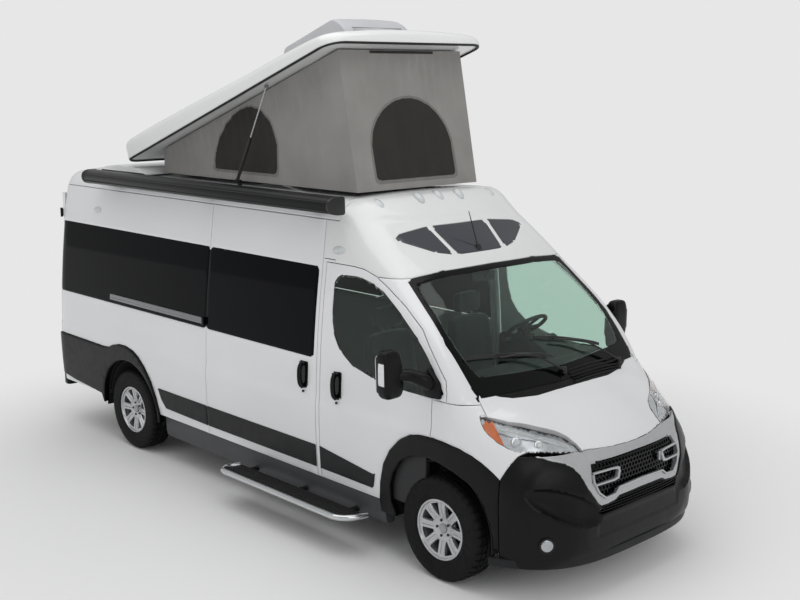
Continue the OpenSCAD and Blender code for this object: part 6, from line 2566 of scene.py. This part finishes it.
@dataclass
class RoofFittings:
    """The awning, the marker lamps, the aerial and the rear fairing of the roof."""

    skin: Skin

    def build(self) -> None:
        """Makes everything that is fixed to the roof."""
        self.awning()
        self.markers()
        self.rear_step()

    def awning(self) -> None:
        """Makes the rolled awning's case with its end caps and brackets."""
        bm = bmesh.new()
        section = rounded([(0.938, 2.446), (1.010, 2.444), (1.078, 2.462), (1.098, 2.505),
                           (1.088, 2.552), (1.040, 2.575), (0.940, 2.574)], 0.022, 4)
        prism(bm, section, 0, -4.575, -1.055, 0.002)
        for x0, x1 in ((-4.600, -4.570), (-1.060, -1.030)):
            cap = [((y - 1.018) * 1.03 + 1.018, (z - 2.51) * 1.035 + 2.51) for y, z in section]
            prism(bm, cap, 0, x0, x1, 0.005, material=1)
        for z, y in ((2.476, 1.087), (2.540, 1.0925)):
            sweep(bm, [(-4.572, y, z), (-1.058, y, z)], bar(0.006, 0.006, 0.002), material=1)
        for x in (-4.25, -2.80, -1.40):
            block(bm, (x - 0.06, 0.860, 2.448), (x + 0.06, 0.942, 2.560), 0.006, 2, 1)
        on_side(bm, Side.RIGHT)
        piece("awning_case", bm, [AWNING_BLACK, SATIN_BLACK], "root", ["awning"])

    def markers(self) -> None:
        """Makes the five marker lamps and the stub aerial on the cap."""
        bm = bmesh.new()
        for x, y, z in ((-1.016, 0.0, 2.512), (-1.008, 0.215, 2.512), (-1.008, -0.215, 2.512),
                        (-1.035, 0.600, 2.485), (-1.035, -0.600, 2.485)):
            part = bmesh.new()
            bmesh.ops.create_uvsphere(part, u_segments=20, v_segments=12, radius=1)
            turn = (Matrix.Translation((x - 0.01, y, z)) @ Matrix.Rotation(math.radians(38), 4, "Y")
                    @ Matrix.Diagonal((0.062, 0.040, 0.030, 1)))
            add_part(bm, part, 0, turn)
        shift(bm, dx=AXLE_X)
        piece("marker_lamps", bm, [LAMP_WHITE], "root")
        aerial = bmesh.new()
        foot, tip = Vector((-0.600, 0, 2.158)), Vector((-0.700, 0, 2.420))
        rod(aerial, foot - Vector((0, 0, 0.01)), foot + Vector((0.0, 0, 0.028)), 0.028, 0.016, 20,
            bevel=0.004)
        rod(aerial, foot, tip, 0.0050, 0.0035, 10)
        shift(aerial, dx=AXLE_X)
        piece("stub_aerial", aerial, [SATIN_BLACK])

    def rear_step(self) -> None:
        """Makes the white fairing behind the raised roof."""
        bm = bmesh.new()
        outline = rounded([(-4.78, 2.545), (-4.70, 2.588), (-4.45, 2.615), (-4.05, 2.600),
                           (-3.95, 2.545)], 0.04, 4)
        prism(bm, outline, 1, -0.80, 0.80, 0.012)
        shift(bm, dx=AXLE_X)
        piece("roof_rear_fairing", bm, [GELCOAT], "root")


@dataclass
class Step:
    """The polished running board under the sliding door."""

    def build(self) -> None:
        """Makes the bent tube, the tread and the brackets."""
        bm = bmesh.new()
        path = smooth_path([(-2.235, -1.075, 0.300), (-2.262, -1.190, 0.300),
                            (-2.200, -1.258, 0.300), (-2.05, -1.262, 0.300),
                            (-1.50, -1.262, 0.300), (-0.95, -1.262, 0.300),
                            (-0.80, -1.250, 0.300), (-0.722, -1.180, 0.300),
                            (-0.685, -1.060, 0.300)], 6)
        sweep(bm, path, oval(0.046, 0.046, 18))
        block(bm, (-2.235, -1.245, 0.288), (-0.765, -1.060, 0.300), 0.003, 2, 1)
        for i in range(6):
            y = -1.225 + 0.030 * i
            sweep(bm, [(-2.20, y, 0.3025), (-0.80, y, 0.3025)], bar(0.010, 0.005, 0.001),
                  material=1)
        for x in (-2.120, -1.480, -0.880):
            block(bm, (x - 0.022, -1.235, 0.262), (x + 0.022, -0.910, 0.290), 0.003, 2, 2)
        shift(bm, dx=AXLE_X)
        piece("step_rail", bm, [STAINLESS, TREAD_BLACK, SATIN_BLACK], "root",
              ["running_board"])


@dataclass
class Rear:
    """The rear bumper, lamps, handles and hinges."""

    skin: Skin

    def build(self) -> None:
        """Makes the back of the van."""
        face = REAR_FACE
        bm = bmesh.new()
        plan = rounded([(face + 0.10, -1.0), (face - 0.020, -0.985), (face - 0.048, -0.80),
                        (face - 0.050, 0.80), (face - 0.020, 0.985), (face + 0.10, 1.0)], 0.05, 3)
        prism(bm, plan, 2, 0.366, 0.520, 0.012)
        shift(bm, dx=AXLE_X)
        piece("rear_bumper_cover", bm, [BLACK_PP], replaces=["rear_bumper"])
        lamps = bmesh.new()
        sheet = self.skin.take(Side.BOTH, Region.TAIL_LAMP)
        lift_sheet(sheet, 0.003)
        form_panel(sheet, 0.001, 0.006, 0.004, 0.02)
        add_part(lamps, sheet, 0)
        piece("tail_lamp_lenses", lamps, [LAMP_RED], "root", ["tail_lamps"])
        for side in SIDES:
            bm = bmesh.new()
            for z in (0.78, 1.32, 2.10):
                rod(bm, (face - 0.014, 0.905, z - 0.045), (face - 0.014, 0.905, z + 0.045), 0.012,
                    segments=16, bevel=0.002)
                block(bm, (face - 0.018, 0.80, z - 0.035), (face - 0.002, 0.905, z + 0.035), 0.004)
            if side is Side.LEFT:
                block(bm, (face - 0.022, 0.035, 1.03), (face - 0.002, 0.085, 1.24), 0.008, 3)
            on_side(bm, side)
            piece(f"rear_door_fittings_{side.word}", bm, [BLACK_PP], f"rear_door_{side.word}")


@dataclass
class Cab:
    """The seats, dashboard, wheel and rear-view mirror."""

    seat_y: float = 0.440

    def build(self) -> None:
        """Makes what is seen through the cab's glass."""
        for side in SIDES:
            self.seat(side)
        dress("dashboard", DASH_VINYL)
        dress("steering_wheel", DASH_VINYL)
        dress("floor_pan", FLOOR_GREY)
        bm = bmesh.new()
        block(bm, (-0.555, -0.12, 1.905), (-0.530, 0.12, 1.975), 0.010, 3)
        rod(bm, (-0.530, 0, 1.94), (-0.47, 0, 2.02), 0.010)
        shift(bm, dx=AXLE_X)
        piece("rear_view_mirror", bm, [SATIN_BLACK])

    def cushion(self, low: Sequence[float], high: Sequence[float], puff: float,
                lean: float = 0.0) -> bmesh.types.BMesh:
        """Makes one padded block with a stitched panel down its middle.

        Args:
            low: its lowest corner.
            high: its highest corner.
            puff: how far its middle swells.
            lean: how far it leans back for each unit of height.
        Returns:
            The block.
        """
        part = bmesh.new()
        bmesh.ops.create_cube(part, size=2)
        bmesh.ops.subdivide_edges(part, edges=part.edges[:], cuts=15, use_grid_fill=True)
        middle = Vector([(a + b) / 2 for a, b in zip(low, high)])
        size = Vector([(b - a) / 2 for a, b in zip(low, high)])
        for vert in part.verts:
            p = vert.co
            k = (abs(p.x) ** 6 + abs(p.y) ** 6 + abs(p.z) ** 6) ** (1 / 6)
            q = p / k
            seam = math.exp(-((abs(q.y) - 0.55) / 0.06) ** 2) * 0.012
            swell = puff * (1 - q.y * q.y) * (1 - 0.5 * q.z * q.z)
            place = Vector((q.x * size.x, q.y * size.y, q.z * size.z))
            normal = place.normalized()
            place += normal * (swell * 0.5 - seam)
            place.x += -lean * (place.z + size.z)
            vert.co = middle + place
        return part

    def seat(self, side: Side) -> None:
        """Makes one seat's squab, back and head rest.

        Args:
            side: the side.
        """
        y, h = self.seat_y, 0.235
        bm = self.cushion((-1.100, y - h, 0.790), (-0.610, y + h, 0.905), 0.02)
        on_side(bm, side)
        squab = piece(f"seat_squab_{side.word}", bm, [SEAT_CLOTH], "root",
                      ["cab_seats"] if side is Side.RIGHT else [], 60)
        back = self.cushion((-1.075, y - h + 0.01, 0.915), (-0.975, y + h - 0.01, 1.500), 0.02,
                            0.155)
        rest = self.cushion((-1.165, y - 0.135, 1.530), (-1.095, y + 0.135, 1.690), 0.012)
        add_part(back, rest, 0)
        rod(back, (-1.135, y - 0.06, 1.48), (-1.135, y - 0.06, 1.55), 0.006, material=1)
        rod(back, (-1.135, y + 0.06, 1.48), (-1.135, y + 0.06, 1.55), 0.006, material=1)
        on_side(back, side)
        rest_back = piece(f"seat_back_{side.word}", back, [SEAT_CLOTH, STEEL], "root",
                          (), 60)
        base = bmesh.new()
        block(base, (-1.02, y - 0.18, 0.560), (-0.66, y + 0.18, 0.795), 0.02)
        on_side(base, side)
        piece(f"seat_base_{side.word}", base, [SATIN_BLACK], "root")


# The CAD nodes that are kept as they are, in the finishes of the underside.
UNDERSIDE = {
    "engine_block": CAST_IRON, "front_subframe": UNDERBODY, "knuckle_right": CAST_IRON,
    "knuckle_left": CAST_IRON, "rear_axle": UNDERBODY, "chassis_frame": UNDERBODY,
    "exhaust": EXHAUST_STEEL, "hitch_receiver": SATIN_BLACK}


def main() -> None:
    """Builds the van, sub-assembly by sub-assembly."""
    logging.basicConfig(level=logging.INFO, format="%(message)s")
    Studio().build()
    skin = Skin()
    BodyPanels(skin).build()
    Glazing(skin).build()
    Trim(skin).build()
    Front(skin).build()
    RoofFittings(skin).build()
    Step().build()
    Rear(skin).build()
    Cab().build()
    PopTop().build()
    for side in SIDES:
        Mirror(side).build()
        Wheel("front", side).build()
        Wheel("rear", side).build()
    for node, finish in UNDERSIDE.items():
        dress(node, finish)


if __name__ == "__main__":
    main()
